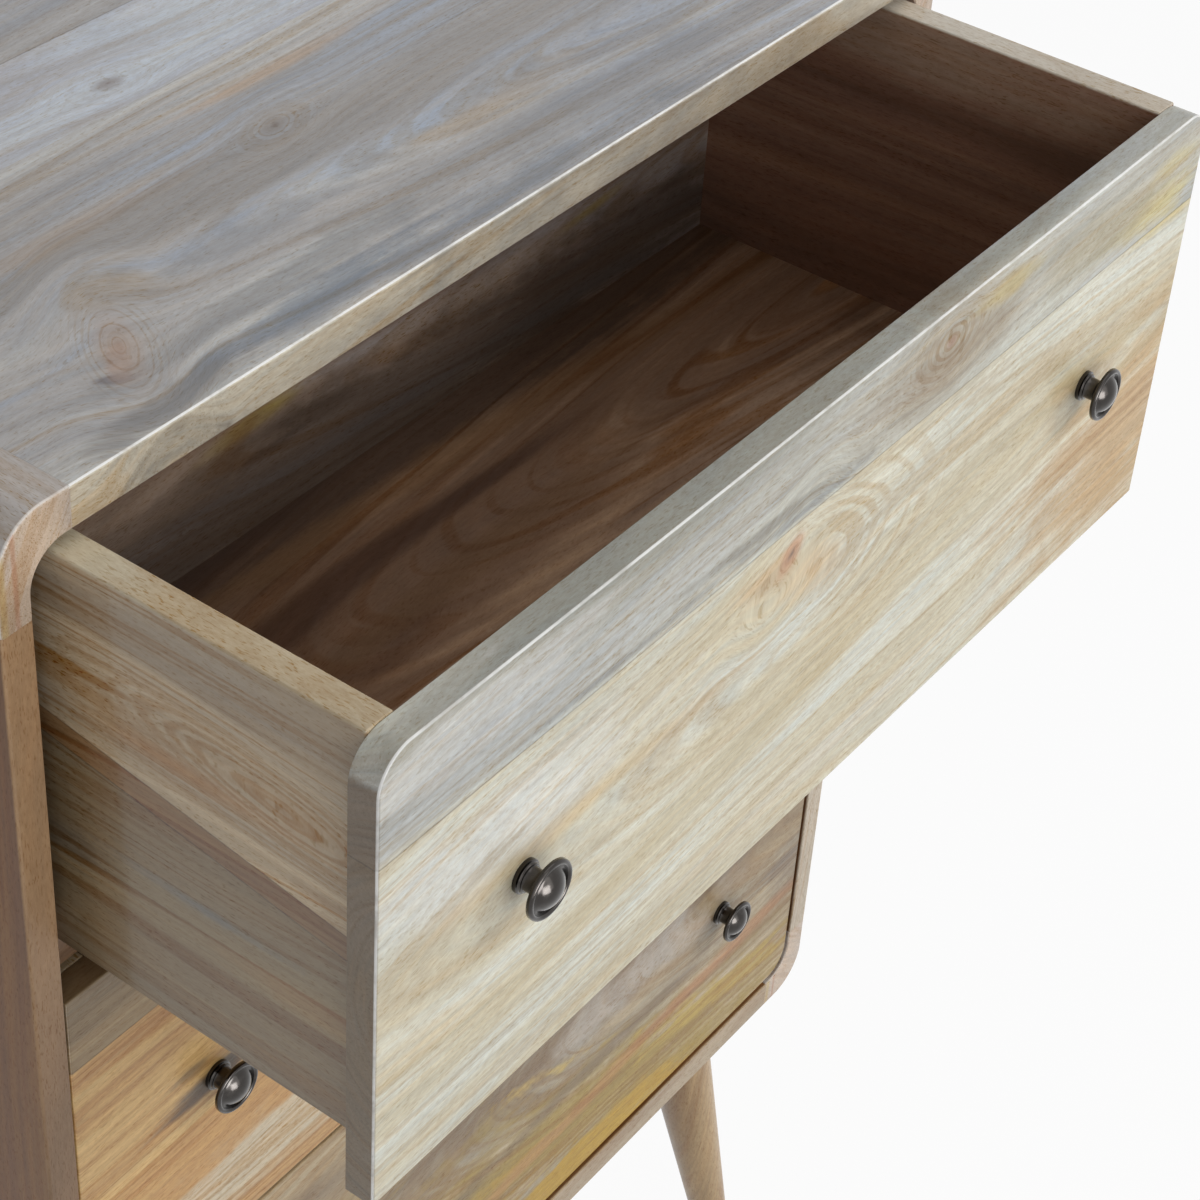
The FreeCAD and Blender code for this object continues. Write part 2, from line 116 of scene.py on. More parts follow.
class Reading:
    """One output of a node, with the usual arithmetic."""

    def __init__(self, bench: "Bench", socket: bpy.types.NodeSocket) -> None:
        """Wraps a socket of a node on a bench."""
        self.bench = bench
        self.socket = socket

    def _math(self, operation: str, *values: Value) -> "Reading":
        """Result of one Math node on the given values."""
        node = self.bench.node("ShaderNodeMath", {"operation": operation}, dict(enumerate(values)))
        return self.bench.read(node)

    def __add__(self, other: Value) -> "Reading":
        """Sum."""
        return self._math("ADD", self, other)

    def __radd__(self, other: Value) -> "Reading":
        """Sum, number first."""
        return self._math("ADD", other, self)

    def __sub__(self, other: Value) -> "Reading":
        """Difference."""
        return self._math("SUBTRACT", self, other)

    def __rsub__(self, other: Value) -> "Reading":
        """Difference, number first."""
        return self._math("SUBTRACT", other, self)

    def __mul__(self, other: Value) -> "Reading":
        """Product."""
        return self._math("MULTIPLY", self, other)

    def __truediv__(self, other: Value) -> "Reading":
        """Quotient."""
        return self._math("DIVIDE", self, other)

    def root(self) -> "Reading":
        """Square root."""
        return self._math("SQRT", self)

    def sign(self) -> "Reading":
        """Minus one, zero or one."""
        return self._math("SIGN", self)

    def top(self, other: Value) -> "Reading":
        """The greater of two values."""
        return self._math("MAXIMUM", self, other)

    def low(self, other: Value) -> "Reading":
        """The lesser of two values."""
        return self._math("MINIMUM", self, other)

    def crest(self, width: float) -> "Reading":
        """Thin lines where a noise passes its middle value.

        Args:
            width: half the span of values that a line takes up.

        Returns:
            One on the lines, zero away from them.
        """
        off = self - NOISE_MIDDLE
        return (off * off).fade(0.0, width * width, 1.0, 0.0)

    def swing(self, amount: Value) -> "Reading":
        """How far a noise or a chance is off its middle value, times an amount."""
        return (self - NOISE_MIDDLE) * amount

    def over(self, limit: Value) -> "Reading":
        """One where the value is over the limit, zero elsewhere."""
        return self._math("GREATER_THAN", self, limit)

    def fade(self, start: Value, end: Value, low: Value = 0.0, high: Value = 1.0) -> "Reading":
        """Smooth step from low to high as the value goes from start to end.

        Args:
            start: value at which the step begins.
            end: value at which it is over.
            low: result before the step.
            high: result after it.

        Returns:
            The stepped value.
        """
        settings = {"interpolation_type": "SMOOTHSTEP"}
        values = {"Value": self, "From Min": start, "From Max": end, "To Min": low, "To Max": high}
        return self.bench.read(self.bench.node("ShaderNodeMapRange", settings, values))


class Bench:
    """A node tree under construction and the means to add to it."""

    def __init__(self, tree: bpy.types.NodeTree) -> None:
        """Takes an empty tree."""
        self.tree = tree

    def node(
        self, kind: str, settings: Optional[dict] = None, inputs: Optional[dict] = None
    ) -> bpy.types.Node:
        """Adds a node.

        Args:
            kind: Blender's name for the node's type.
            settings: the node's own properties, set before its inputs.
            inputs: values, readings or nodes (which stand for their first output), by the name
                or index of the socket.

        Returns:
            The node.
        """
        node = self.tree.nodes.new(kind)
        for key, value in (settings or {}).items():
            setattr(node, key, value)
        for key, value in (inputs or {}).items():
            socket = node.inputs[key]
            if isinstance(value, bpy.types.Node):
                value = self.read(value)
            if isinstance(value, Reading):
                self.tree.links.new(value.socket, socket)
            elif isinstance(value, tuple) and socket.type == "RGBA":
                socket.default_value = (*value[:3], 1.0)
            else:
                socket.default_value = value
        return node

    def read(self, node: bpy.types.Node, output: Union[int, str] = 0) -> Reading:
        """Output of a node, ready for arithmetic."""
        return Reading(self, node.outputs[output])

    def vector(self, *parts: Value) -> Reading:
        """Vector from three numbers or readings."""
        return self.read(self.node("ShaderNodeCombineXYZ", None, dict(enumerate(parts))))

    def split(self, vector: Reading) -> tuple[Reading, ...]:
        """The three parts of a vector."""
        node = self.node("ShaderNodeSeparateXYZ", None, {0: vector})
        return tuple(self.read(node, axis) for axis in range(3))

    def seen(self) -> Reading:
        """Tells what the camera sees from other light.

        Returns:
            One for rays from the camera, also by way of gloss or glass, and zero for others.
        """
        path = self.node("ShaderNodeLightPath")
        camera, gloss, glass = (
            self.read(path, f"Is {ray} Ray") for ray in ("Camera", "Glossy", "Transmission")
        )
        return (camera + gloss + glass).low(1.0)


@dataclass(frozen=True)
class Weave:
    """One noise of the wood: its scales along, across and through the board, and its layers."""

    along: float
    across: float
    through: float
    layers: float = 2.0
    weight: float = 0.5
    shift: float = 0.0


class Paint(Bench):
    """The node tree of one material."""

    # places of the share and the two colours among a Mix node's inputs, and of the colour it gives
    MIX_SHARE = 0
    MIX_UNDER = 6
    MIX_OVER = 7
    MIX_COLOUR = 2

    def __init__(self, name: str) -> None:
        """Starts an empty material with an output node.

        Args:
            name: name of the material.
        """
        self.material = bpy.data.materials.new(name)
        self.material.use_nodes = True
        super().__init__(self.material.node_tree)
        self.tree.nodes.clear()
        self.output = self.node("ShaderNodeOutputMaterial")

    def blend(self, share: Value, under: Hue, over: Hue, mode: str = "MIX") -> Reading:
        """Mix of two colours.

        Args:
            share: how much of the upper colour is laid on, from 0 to 1.
            under: the lower colour.
            over: the upper colour.
            mode: Blender's name for the way of mixing.

        Returns:
            The mixed colour.
        """
        settings = {"data_type": "RGBA", "blend_type": mode, "clamp_factor": True}
        inputs = {self.MIX_SHARE: share, self.MIX_UNDER: under, self.MIX_OVER: over}
        return self.read(self.node("ShaderNodeMix", settings, inputs), self.MIX_COLOUR)

    def noise(self, place: Reading, detail: float, roughness: float = 0.5) -> Reading:
        """Noise from 0 to 1.

        Args:
            place: where it is read, already scaled.
            detail: number of finer layers.
            roughness: weight of each finer layer against the one before.

        Returns:
            The noise.
        """
        inputs = {"Vector": place, "Scale": 1.0, "Detail": detail, "Roughness": roughness}
        return self.read(self.node("ShaderNodeTexNoise", None, inputs))

    def weave(self, weave: Weave, run: Reading, across: Reading, through: Reading) -> Reading:
        """One of the wood's noises at a place.

        Args:
            weave: the noise.
            run: place along the grain.
            across: place across it.
            through: place through the board.

        Returns:
            The noise, from 0 to 1.
        """
        start = run * weave.along
        if weave.shift:
            start = start + weave.shift
        place = self.vector(start, across * weave.across, through * weave.through)
        return self.noise(place, weave.layers, weave.weight)

    def bump(self, height: Reading, strength: float, distance: float) -> Reading:
        """Normal of a surface that has a small relief.

        Args:
            height: the relief.
            strength: share of it that counts.
            distance: height of a full step, in metres.

        Returns:
            The normal.
        """
        inputs = {"Height": height, "Strength": strength, "Distance": distance}
        return self.read(self.node("ShaderNodeBump", None, inputs))

    def ends_in(self, shader: bpy.types.Node) -> bpy.types.Material:
        """Ends the tree in a shader and gives the material."""
        self.tree.links.new(shader.outputs[0], self.output.inputs[0])
        return self.material

    def gloss(self, **inputs: Union[Value, Colour]) -> bpy.types.Material:
        """Ends the tree in a Principled shader; input names have _ for a space."""
        named = {key.replace("_", " "): value for key, value in inputs.items()}
        return self.ends_in(self.node("ShaderNodeBsdfPrincipled", None, named))


# ---- finishes --------------------------------------------------------------------


class Lay(Enum):
    """How a board lies: the axes along its grain, across its face and through its thickness."""

    PLANK = (0, 1, 2)
    FRONT = (0, 2, 1)
    CASE_SIDE = (2, 1, 0)
    DRAWER_SIDE = (1, 2, 0)
    BLOCK = (1, 0, 2)


@dataclass(frozen=True)
class Stain:
    """A soft patch of another colour, its middle and size in metres along and across the face.

    Its slant is its slope against the grain, its fray how ragged the rim is.
    """

    along: float
    across: float
    length: float
    width: float
    colour: Colour
    strength: float = 0.7
    slant: float = 0.0
    fray: float = 1.0


@dataclass(frozen=True)
class Knot:
    """A knot that the grain flows round, with rings drawn about it.

    The rings show out to the swirl, a pitch apart, on one side only where a side is given
    and never above the ceiling.
    """

    along: float
    across: float
    radius: float = 0.008
    colour: Colour = dye(140, 98, 76)
    reach: float = 7.0
    slant: float = 0.0
    core: Colour = dye(86, 56, 42)
    stretch: float = 1.8
    swirl: float = 0.03
    pitch: float = 0.008
    side: float = 0.0
    ink: float = 1.0
    ceiling: float = 9.0


@dataclass(frozen=True)
class ArrisHighlight:
    """A painted highlight: a pale band along the rounded arris round a face, which is square to one of the
    lay's three axes.
    """

    axis: int
    face: float
    colour: Colour = dye(246, 246, 244)
    strength: float = 0.8
    depth: float = 1.5 * MM


@dataclass(frozen=True)
class Tones:
    """The four tones of a board: its ground, its pale and deep streaks and a grey veil."""

    ground: Colour
    pale: Colour
    deep: Colour
    veil: Colour


@dataclass(frozen=True)
class Strip:
    """A board of a glued panel: where it begins across the panel, its tones and its seam's slope."""

    seam: float
    tones: Tones
    slope: float = 0.0


CURL = Weave(1.6, 6.0, 6.0)
FLAT_WEAVES = (  # wide tones, mist, cloud, fibre and fleck, which lie along the board
    Weave(1.3, 16.0, 16.0, 3.0, 0.55),
    Weave(1.6, 26.0, 26.0, 4.0, 0.65, shift=9.0),
    Weave(26.0, 34.0, 34.0, 4.0, 0.65),
    Weave(130.0, 520.0, 520.0, 4.0, 0.75),
    Weave(240.0, 1300.0, 1300.0, 1.0),
)
RING_WEAVES = (  # streaks, coarse and dense lines and threads, which follow the growth rings
    Weave(2.2, 85.0, 9.0, 4.0, 0.62),
    Weave(1.3, 42.0, 8.0, shift=3.0),
    Weave(2.4, 120.0, 10.0, shift=5.0),
    Weave(9.0, 330.0, 40.0, 3.0, 0.65),
)
SEAM_SHADE = 0.35
SEAM_REACH = 0.0000005  # square of a seam's half width


@dataclass(frozen=True)
class Darkening:
    """How strongly each kind of fine mark changes one of the three colours."""

    threads: float
    fibre: float
    pores: float
    lines: float


MARKS = (  # for red, green and blue
    Darkening(1.25, 0.75, 0.65, 0.60),
    Darkening(1.0, 1.0, 0.90, 1.0),
    Darkening(0.65, 1.25, 1.25, 1.45),
)


@dataclass(frozen=True)
class WoodFinish:
    """Lacquered wood with its own colours, figure, stains and knots.

    The growth rings lie round the heart, a line that rises along the board. The drift is how far
    they wander, the slant is the slope of the grain, and the figure, streaks, fibre, pores and
    threads say how strong each kind of mark is.
    """

    name: str
    lay: Lay
    tones: Tones
    strips: tuple[Strip, ...] = ()
    stains: tuple[Stain, ...] = ()
    knots: tuple[Knot, ...] = ()
    # edges: painted highlights along the rounded arrises
    edges: tuple[ArrisHighlight, ...] = ()
    veil_share: float = 0.4
    figure: float = 0.30
    heart: Point = (0.0, 0.0, -0.06)
    rise: float = 0.06
    drift: float = 0.07
    slant: float = 0.0
    streaks: float = 0.30
    fibre: float = 0.80
    pores: float = 0.42
    seed: float = 0.0
    threads: float = 0.30
    roughness: float = 0.42
    coat: float = 0.30
    coat_roughness: float = 0.13
    specular: float = 0.5

    def moved(self, name: str, along: float, across: float, seed: float) -> "WoodFinish":
        """The same finish with its strips, stains and knots shifted, for a like board elsewhere.

        Args:
            name: name of the new finish.
            along: shift along the grain.
            across: shift across it.
            seed: what is added to the seed, for another figure.

        Returns:
            The shifted finish.
        """
        return replace(
            self,
            name=name,
            seed=self.seed + seed,
            strips=tuple(replace(strip, seam=strip.seam + across) for strip in self.strips),
            stains=tuple(replace(s, along=s.along + along, across=s.across + across) for s in self.stains),
            knots=tuple(replace(k, along=k.along + along, across=k.across + across) for k in self.knots),
            heart=(self.heart[0] + along, self.heart[1] + across, self.heart[2]),
        )

    def material(self) -> bpy.types.Material:
        """Builds the material, patterned on Object coordinates."""
        return WoodPaint(self).finished()


class WoodPaint(Paint):
    """The node tree of a wood finish, with the readings that its pattern is drawn from."""

    # shifts of the pattern from board to board of a glued panel, and by the seed
    BOARD_RUN = 1.73
    BOARD_BREADTH = 0.37
    BOARD_HEART = 0.05
    SEED_BREADTH = 0.7
    SEED_DEPTH = 0.3
    # how far the grain goes round a knot, and how much of that the rings follow
    KNOT_BEND = 0.85
    RING_BEND = 0.6
    # spans of a noise over which one tone passes into the next
    GROUND_SPAN = (0.36, 0.50)
    PALE_SPAN = (0.50, 0.64)
    VEIL_SPAN = (0.46, 0.64)
    PIT_SPAN = (0.56, 0.70)
    # where a noise lets growth lines, pores and the painted arris highlights show: span, and the shares at
    # its two ends
    COARSE_WHERE = (0.40, 0.60, 0.4, 1.0)
    DENSE_WHERE = (0.42, 0.60, 0.2, 0.8)
    PORE_WHERE = (0.35, 0.60, 0.5, 1.0)
    HIGHLIGHT_WHERE = (0.34, 0.56, 0.45, 1.0)
    # shares of two noises in the pale tone, and how much a third shades the whole
    WIDE_PALE = 0.6
    STREAK_PALE = 0.4
    CLOUD_SHADE = 0.20
    # half widths of the lines, as spans of a noise
    COARSE_LINE = 0.030
    DENSE_LINE = 0.045
    KNOT_LINE = 0.055
    # how far apart the rings of two knots are read, for each metre between them
    KNOT_SHIFT = 90.0
    # how far noise frays a stain, in widths, and a knot, in radii; how far it warps a knot's rings
    STAIN_FRAY = 1.3
    STREAK_FRAY = 1.6
    CLOUD_FRAY = 1.2
    BEND_WARP = 1.2
    CLOUD_WARP = 0.004
    STREAK_WARP = 0.003
    # share of its width to which a stain is laid on whole
    STAIN_WHOLE = 0.2
    # a knot's halo, core and rings: where they begin and end, in radii, and how strong they are
    HALO_START = 0.7
    HALO_END = 2.0
    HALO_STRENGTH = 0.60
    CORE_END = 0.6
    CORE_STRENGTH = 0.80
    RINGS_START = 0.8
    # metres over which rings on one side of a knot set in, and those under a ceiling end
    SIDE_SPAN = (-0.010, 0.030)
    CEILING_SPAN = (0.0, 0.004)
    # a painted arris highlight, in shares of its depth: where it sets in, is whole and begins to fade
    HIGHLIGHT_START = 0.10
    HIGHLIGHT_WHOLE = 0.30
    HIGHLIGHT_FADE = 0.70
    # what streaks and pits add to the roughness, and the relief of fibre and pits
    STREAK_ROUGHNESS = 0.14
    PIT_ROUGHNESS = 0.10
    FIBRE_RELIEF = 0.6
    RELIEF_STRENGTH = 0.16
    RELIEF_DEPTH = 0.0005

    def __init__(self, finish: WoodFinish) -> None:
        """Takes the readings: growth rings round the heart, bent round the knots.

        Args:
            finish: the finish.
        """
        super().__init__(finish.name)
        self.finish = finish
        axes = self.split(self.read(self.node("ShaderNodeTexCoord"), "Object"))
        self.place = tuple(axes[axis] for axis in finish.lay.value)
        self.along, self.across, through = self.place
        board = self.across * 0.0
        self.tones = astuple(finish.tones)
        for strip in finish.strips:
            beyond = (self.across - self.along * strip.slope).over(strip.seam)
            board = board + beyond
            self.tones = tuple(
                self.blend(beyond, under, over) for under, over in zip(self.tones, astuple(strip.tones))
            )
        run = self.along + board * self.BOARD_RUN + finish.seed
        below = through + finish.seed * self.SEED_DEPTH
        breadth = self.across - self.along * finish.slant + board * self.BOARD_BREADTH
        breadth = breadth + finish.seed * self.SEED_BREADTH
        self.bend = self.weave(CURL, run, breadth, below) - NOISE_MIDDLE
        self.reaches = [self.reach(knot, knot.stretch) for knot in finish.knots]
        push = self.bend * finish.drift
        for knot, reach in zip(finish.knots, self.reaches):
            share = reach.fade(0.0, knot.radius * knot.reach, self.KNOT_BEND, 0.0)
            push = push - (self.across - knot.across) * share
        breadth = breadth + push
        lift = through - finish.heart[2] - (self.along - finish.heart[0]) * finish.rise
        lateral = self.across - finish.heart[1] + board * self.BOARD_HEART + push * self.RING_BEND
        ring = (lateral * lateral + lift * lift).root()
        self.wide, self.mist, self.cloud, self.fibre, fleck = (
            self.weave(weave, run, breadth, below) for weave in FLAT_WEAVES
        )
        self.streak, self.coarse, self.dense, self.thread = (
            self.weave(weave, run, ring, lateral) for weave in RING_WEAVES
        )
        self.pit = fleck.fade(*self.PIT_SPAN)

    def reach(self, spot: Union[Stain, Knot], stretch: float) -> Reading:
        """Distance from a spot on the face, with the grain's direction shrunk.

        Args:
            spot: the stain or knot.
            stretch: how many times longer than wide the spot is.

        Returns:
            The distance, in metres across the grain.
        """
        first = self.along - spot.along
        second = self.across - spot.across - first * spot.slant
        first = first * (1 / stretch)
        return (first * first + second * second).root()

    def ground(self) -> Reading:
        """Broad tones of the board.

        Returns:
            The colour, before stains and marks.
        """
        ground, pale, deep, veil = self.tones
        tone = self.blend(self.wide.fade(*self.GROUND_SPAN), deep, ground)
        light = self.wide * self.WIDE_PALE + self.streak * self.STREAK_PALE
        tone = self.blend(light.fade(*self.PALE_SPAN), tone, pale)
        return self.blend(self.mist.fade(*self.VEIL_SPAN) * self.finish.veil_share, tone, veil)

    def stained(self, tone: Reading) -> Reading:
        """Lays the stains and then the knots over a colour.

        Args:
            tone: the colour.

        Returns:
            The colour with them.
        """
        frayed = self.streak.swing(self.STAIN_FRAY) + self.mist.swing(self.STAIN_FRAY)
        frayed = frayed + self.cloud.swing(1.0) + self.bend
        for stain in self.finish.stains:
            reach = self.reach(stain, stain.length / stain.width) + frayed * (stain.width * stain.fray)
            share = reach.fade(stain.width * self.STAIN_WHOLE, stain.width, stain.strength, 0.0)
            tone = self.blend(share, tone, stain.colour)
        for knot, reach in zip(self.finish.knots, self.reaches):
            radius = knot.radius
            torn = reach + self.streak.swing(radius * self.STREAK_FRAY)
            torn = torn + self.cloud.swing(radius * self.CLOUD_FRAY)
            halo = torn.fade(radius * self.HALO_START, radius * self.HALO_END, self.HALO_STRENGTH, 0.0)
            core = torn.fade(0.0, radius * self.CORE_END, self.CORE_STRENGTH, 0.0)
            tone = self.blend(core, self.blend(halo, tone, knot.colour), knot.core)
        return tone

    def lines(self) -> Reading:
        """Thin dark growth lines, and the rings about the knots.

        Returns:
            One on the lines, zero away from them.
        """
        line = self.coarse.crest(self.COARSE_LINE) * self.wide.fade(*self.COARSE_WHERE)
        line = line.top(self.dense.crest(self.DENSE_LINE) * self.mist.fade(*self.DENSE_WHERE))
        for knot, reach in zip(self.finish.knots, self.reaches):
            warped = reach * (1.0 + self.bend * self.BEND_WARP)
            warped = warped + self.cloud.swing(self.CLOUD_WARP) + self.streak.swing(self.STREAK_WARP)
            spot = (knot.along * self.KNOT_SHIFT, knot.across * self.KNOT_SHIFT)
            turns = self.noise(self.vector(warped / knot.pitch, *spot), 1.0)
            near = reach.fade(knot.radius * self.RINGS_START, knot.swirl, knot.ink, 0.0)
            if knot.side:
                near = near * ((self.along - knot.along) * knot.side).fade(*self.SIDE_SPAN)
                near = near * (knot.ceiling - self.across).fade(*self.CEILING_SPAN)
            line = line.top(turns.crest(self.KNOT_LINE) * near)
        return line

    def marks(self) -> Reading:
        """Streaks, seams, threads, fibre, pores and growth lines.

        Returns:
            Their factor for each of the three colours, as a vector.
        """
        finish = self.finish
        shade = 1.0 + self.streak.swing(finish.streaks) + self.cloud.swing(self.CLOUD_SHADE)
        for strip in finish.strips:
            off = self.across - self.along * strip.slope - strip.seam
            shade = shade - (off * off).fade(0.0, SEAM_REACH, SEAM_SHADE, 0.0)
        threads = self.thread.swing(finish.threads)
        fibre = self.fibre.swing(finish.fibre)
        pores = self.pit * finish.pores * self.cloud.fade(*self.PORE_WHERE)
        lines = self.lines() * finish.figure
        return self.vector(*(
            shade + threads * mark.threads + fibre * mark.fibre - pores * mark.pores - lines * mark.lines
            for mark in MARKS
        ))

    def worn(self, tone: Reading) -> Reading:
        """Lays the painted highlights along the arrises over a colour.

        Args:
            tone: the colour.

        Returns:
            The colour with them.
        """
        for edge in self.finish.edges:
            depth = self.place[edge.axis] - edge.face
            whole = edge.depth * self.HIGHLIGHT_WHOLE
            reached = depth.fade(edge.depth * self.HIGHLIGHT_START, whole, 0.0, edge.strength)
            passed = depth.fade(edge.depth * self.HIGHLIGHT_FADE, edge.depth, 1.0, 0.0)
            # the painted highlight shows only in patches, where the cloud noise is high
            highlight_patches = self.cloud.fade(*self.HIGHLIGHT_WHERE)
            tone = self.blend(reached * passed * highlight_patches, tone, edge.colour)
        return tone

    def finished(self) -> bpy.types.Material:
        """Ends the tree in the lacquered surface.

        Returns:
            The material.
        """
        finish = self.finish
        tone = self.blend(1.0, self.stained(self.ground()), self.marks(), "MULTIPLY")
        return self.gloss(
            # the base colour ends with the painted highlights along the arrises
            Base_Color=self.worn(tone),
            Roughness=(
                finish.roughness
                + self.streak.swing(self.STREAK_ROUGHNESS)
                + self.pit * self.PIT_ROUGHNESS
            ),
            Specular_IOR_Level=finish.specular,
            Coat_Weight=finish.coat,
            Coat_Roughness=finish.coat_roughness,
            Normal=self.bump(
                self.fibre * self.FIBRE_RELIEF - self.pit, self.RELIEF_STRENGTH, self.RELIEF_DEPTH
            ),
        )


@dataclass(frozen=True)
class MetalFinish:
    """Metal with faint turning marks or wear."""

    # roughness and span of the noise of the wear, what noise adds to the gloss, depth of the marks
    PATCHY = 0.6
    WORN_SPAN = (0.45, 0.75)
    CLOUD_ROUGHNESS = 0.10
    FINE_ROUGHNESS = 0.06
    MARK_DEPTH = 0.0002

    name: str
    colour: Colour
    worn: Colour
    roughness: float = 0.28
    grain: float = 900.0
    relief: float = 0.06
    coat: float = 0.0
    coat_roughness: float = 0.14
    patches: float = 180.0
    turns: float = 40.0

    def material(self) -> bpy.types.Material:
        """Builds the material, patterned on Object coordinates.

        Returns:
            The material.
        """
        paint = Paint(self.name)
        x, y, z = paint.split(paint.read(paint.node("ShaderNodeTexCoord"), "Object"))
        spread = paint.vector(x * self.patches, y * self.patches, z * self.patches)
        cloud = paint.noise(spread, 3.0, self.PATCHY)
        turning = paint.noise(paint.vector(x * self.turns, y * self.grain * 3.0, z * self.turns), 2.0)
        fine = paint.noise(paint.vector(x * self.grain, y * self.grain, z * self.grain), 2.0)
        return paint.gloss(
            Base_Color=paint.blend(cloud.fade(*self.WORN_SPAN), self.colour, self.worn),
            Metallic=1.0,
            Roughness=self.roughness + cloud.swing(self.CLOUD_ROUGHNESS) + fine.swing(self.FINE_ROUGHNESS),
            Coat_Weight=self.coat,
            Coat_Roughness=self.coat_roughness,
            Normal=paint.bump(turning + fine * 0.5, self.relief, self.MARK_DEPTH),
        )


GREY_BROWN = Tones(dye(171, 167, 165), dye(193, 192, 189), dye(143, 138, 135), dye(153, 167, 188))
SILVER_BROWN = Tones(dye(184, 184, 189), dye(201, 207, 214), dye(156, 152, 153), dye(186, 199, 225))
CASE_BROWN = Tones(dye(121, 79, 43), dye(141, 100, 57), dye(89, 55, 27), dye(113, 83, 51))
BLOCK_BROWN = Tones(dye(187, 179, 173), dye(210, 208, 215), dye(151, 134, 123), dye(180, 185, 198))
CREAM = Tones(dye(207, 198, 172), dye(217, 217, 204), dye(191, 175, 139), dye(207, 213, 209))
ASH_CREAM = Tones(dye(185, 182, 170), dye(204, 204, 192), dye(153, 152, 142), dye(175, 182, 189))
HONEY = Tones(dye(195, 151, 94), dye(214, 178, 119), dye(164, 119, 70), dye(185, 153, 108))
UMBER_GREY = Tones(dye(160, 138, 103), dye(183, 159, 119), dye(125, 105, 77), dye(150, 138, 115))
DRIFT_GREY = Tones(dye(163, 142, 110), dye(189, 172, 141), dye(129, 108, 82), dye(153, 147, 132))
SIDE_BROWN = Tones(dye(194, 173, 142), dye(220, 202, 172), dye(157, 135, 106), dye(182, 174, 162))
SIDE_DARK = Tones(dye(140, 120, 90), dye(157, 139, 107), dye(113, 93, 68), dye(134, 125, 107))
SIDE_STRIPE = Tones(dye(132, 102, 68), dye(146, 114, 78), dye(100, 74, 50), dye(114, 96, 76))
BACK_UMBER = Tones(dye(161, 143, 128), dye(189, 178, 171), dye(116, 96, 83), dye(156, 155, 158))
SIDE_RUSSET = Tones(dye(136, 101, 83), dye(154, 120, 99), dye(103, 75, 60), dye(117, 96, 85))
FLOOR_UMBER = Tones(dye(155, 122, 97), dye(195, 160, 129), dye(104, 76, 60), dye(135, 115, 105))
INNER_TONES = Tones(dye(134, 104, 78), dye(154, 122, 92), dye(102, 76, 54), dye(126, 108, 92))
LEG_TONES = Tones(dye(166, 134, 90), dye(182, 152, 109), dye(140, 107, 68), dye(168, 144, 111))
BACK_TONES = Tones(dye(158, 134, 106), dye(176, 152, 122), dye(128, 104, 80), dye(150, 138, 122))

FRONT_RISE = 0.261  # from one drawer front to the next
CASE_FACE = -0.0781  # depth of the case's front edges
OPEN_FACE = -0.2627  # depth of the open drawer's face
BAND = -0.0782  # depth of the middle of a band along a front edge
RIM = 1.0802  # height of the upper edge of the open drawer's sides
RIM_MIDDLE = -0.120  # depth of the middle of those edges
BAND_WIDTH = 0.0022
RIM_WIDTH = 0.0020
PAST_ENDS = 3.0  # length of a band that runs past both ends of its board


def front_band(
    colour: Colour, strength: float = 0.9, middle: float = 0.0, length: float = PAST_ENDS
) -> Stain:
    """Even band of another colour along the front edge of a board of the case.

    Args:
        colour: its colour.
        strength: how much of it is laid on.
        middle: place of its middle along the board.
        length: its length.

    Returns:
        The band.
    """
    return Stain(middle, BAND, length, BAND_WIDTH, colour, strength, fray=0.0)


def rim_band(colour: Colour, strength: float) -> Stain:
    """Even band of another colour along the upper edge of a drawer's side."""
    return Stain(RIM_MIDDLE, RIM, PAST_ENDS, RIM_WIDTH, colour, strength, fray=0.0)


TOP_FRONT_PLANK = WoodFinish(
    "top_front_plank", Lay.PLANK, GREY_BROWN, veil_share=0.65, seed=3.1, roughness=0.36, coat=0.6,
    heart=(0.10, 0.0, 1.09), rise=0.10, figure=0.26, pores=0.30, threads=0.60, streaks=0.45,
    # painted highlight along the front arris of the top
    edges=(ArrisHighlight(1, CASE_FACE, strength=0.95),),
    stains=(
        front_band(dye(214, 202, 174), 0.62),
        Stain(-0.2512, -0.0385, 0.008, 0.0035, dye(78, 66, 78), 0.75, -0.5),
        Stain(-0.2400, -0.0300, 0.012, 0.0080, dye(178, 136, 112), 0.55, 0.8),
        Stain(0.100, -0.052, 0.22, 0.055, dye(122, 121, 122), 0.55, fray=0.8),
        Stain(-0.138, -0.040, 0.12, 0.011, dye(104, 106, 110), 0.50),
        Stain(0.040, -0.064, 0.28, 0.012, dye(98, 108, 122), 0.62, 0.02, 1.4),
        Stain(-0.135, -0.058, 0.09, 0.008, dye(90, 104, 122), 0.65, 0.02, 1.3),
        Stain(0.160, -0.030, 0.12, 0.050, dye(116, 124, 140), 0.45, fray=1.2),
        Stain(-0.040, 0.000, 0.16, 0.010, dye(122, 128, 140), 0.45, fray=1.8),
        Stain(-0.254, -0.070, 0.07, 0.010, dye(112, 106, 100), 0.60),
        Stain(-0.014, 0.094, 0.11, 0.008, dye(178, 142, 100), 0.60),
        Stain(-0.190, 0.060, 0.10, 0.010, dye(166, 140, 110), 0.40),
        Stain(0.040, -0.012, 0.10, 0.018, dye(166, 156, 144), 0.50),
    ),
    knots=(
        Knot(-0.2315, -0.0218, 0.012, dye(166, 142, 124), 6.0, 0.9, dye(158, 128, 108), 1.0, 0.045, 0.005),
        Knot(-0.0455, 0.0555, 0.003, dye(126, 112, 100), 12.0, 0.2, dye(104, 88, 76), 1.8, 0.03, 0.006),
    ),
)
TOP_REAR_PLANK = WoodFinish(
    "top_rear_plank", Lay.PLANK, SILVER_BROWN, veil_share=0.4, seed=6.6, roughness=0.36, coat=0.3,
    heart=(-0.3, 0.19, 1.06), figure=0.14, pores=0.26, streaks=0.3, threads=0.4,
    strips=(Strip(0.196, GREY_BROWN),),
    knots=(Knot(-0.0707, 0.1438, 0.004, dye(110, 88, 76), 8.0),),
)
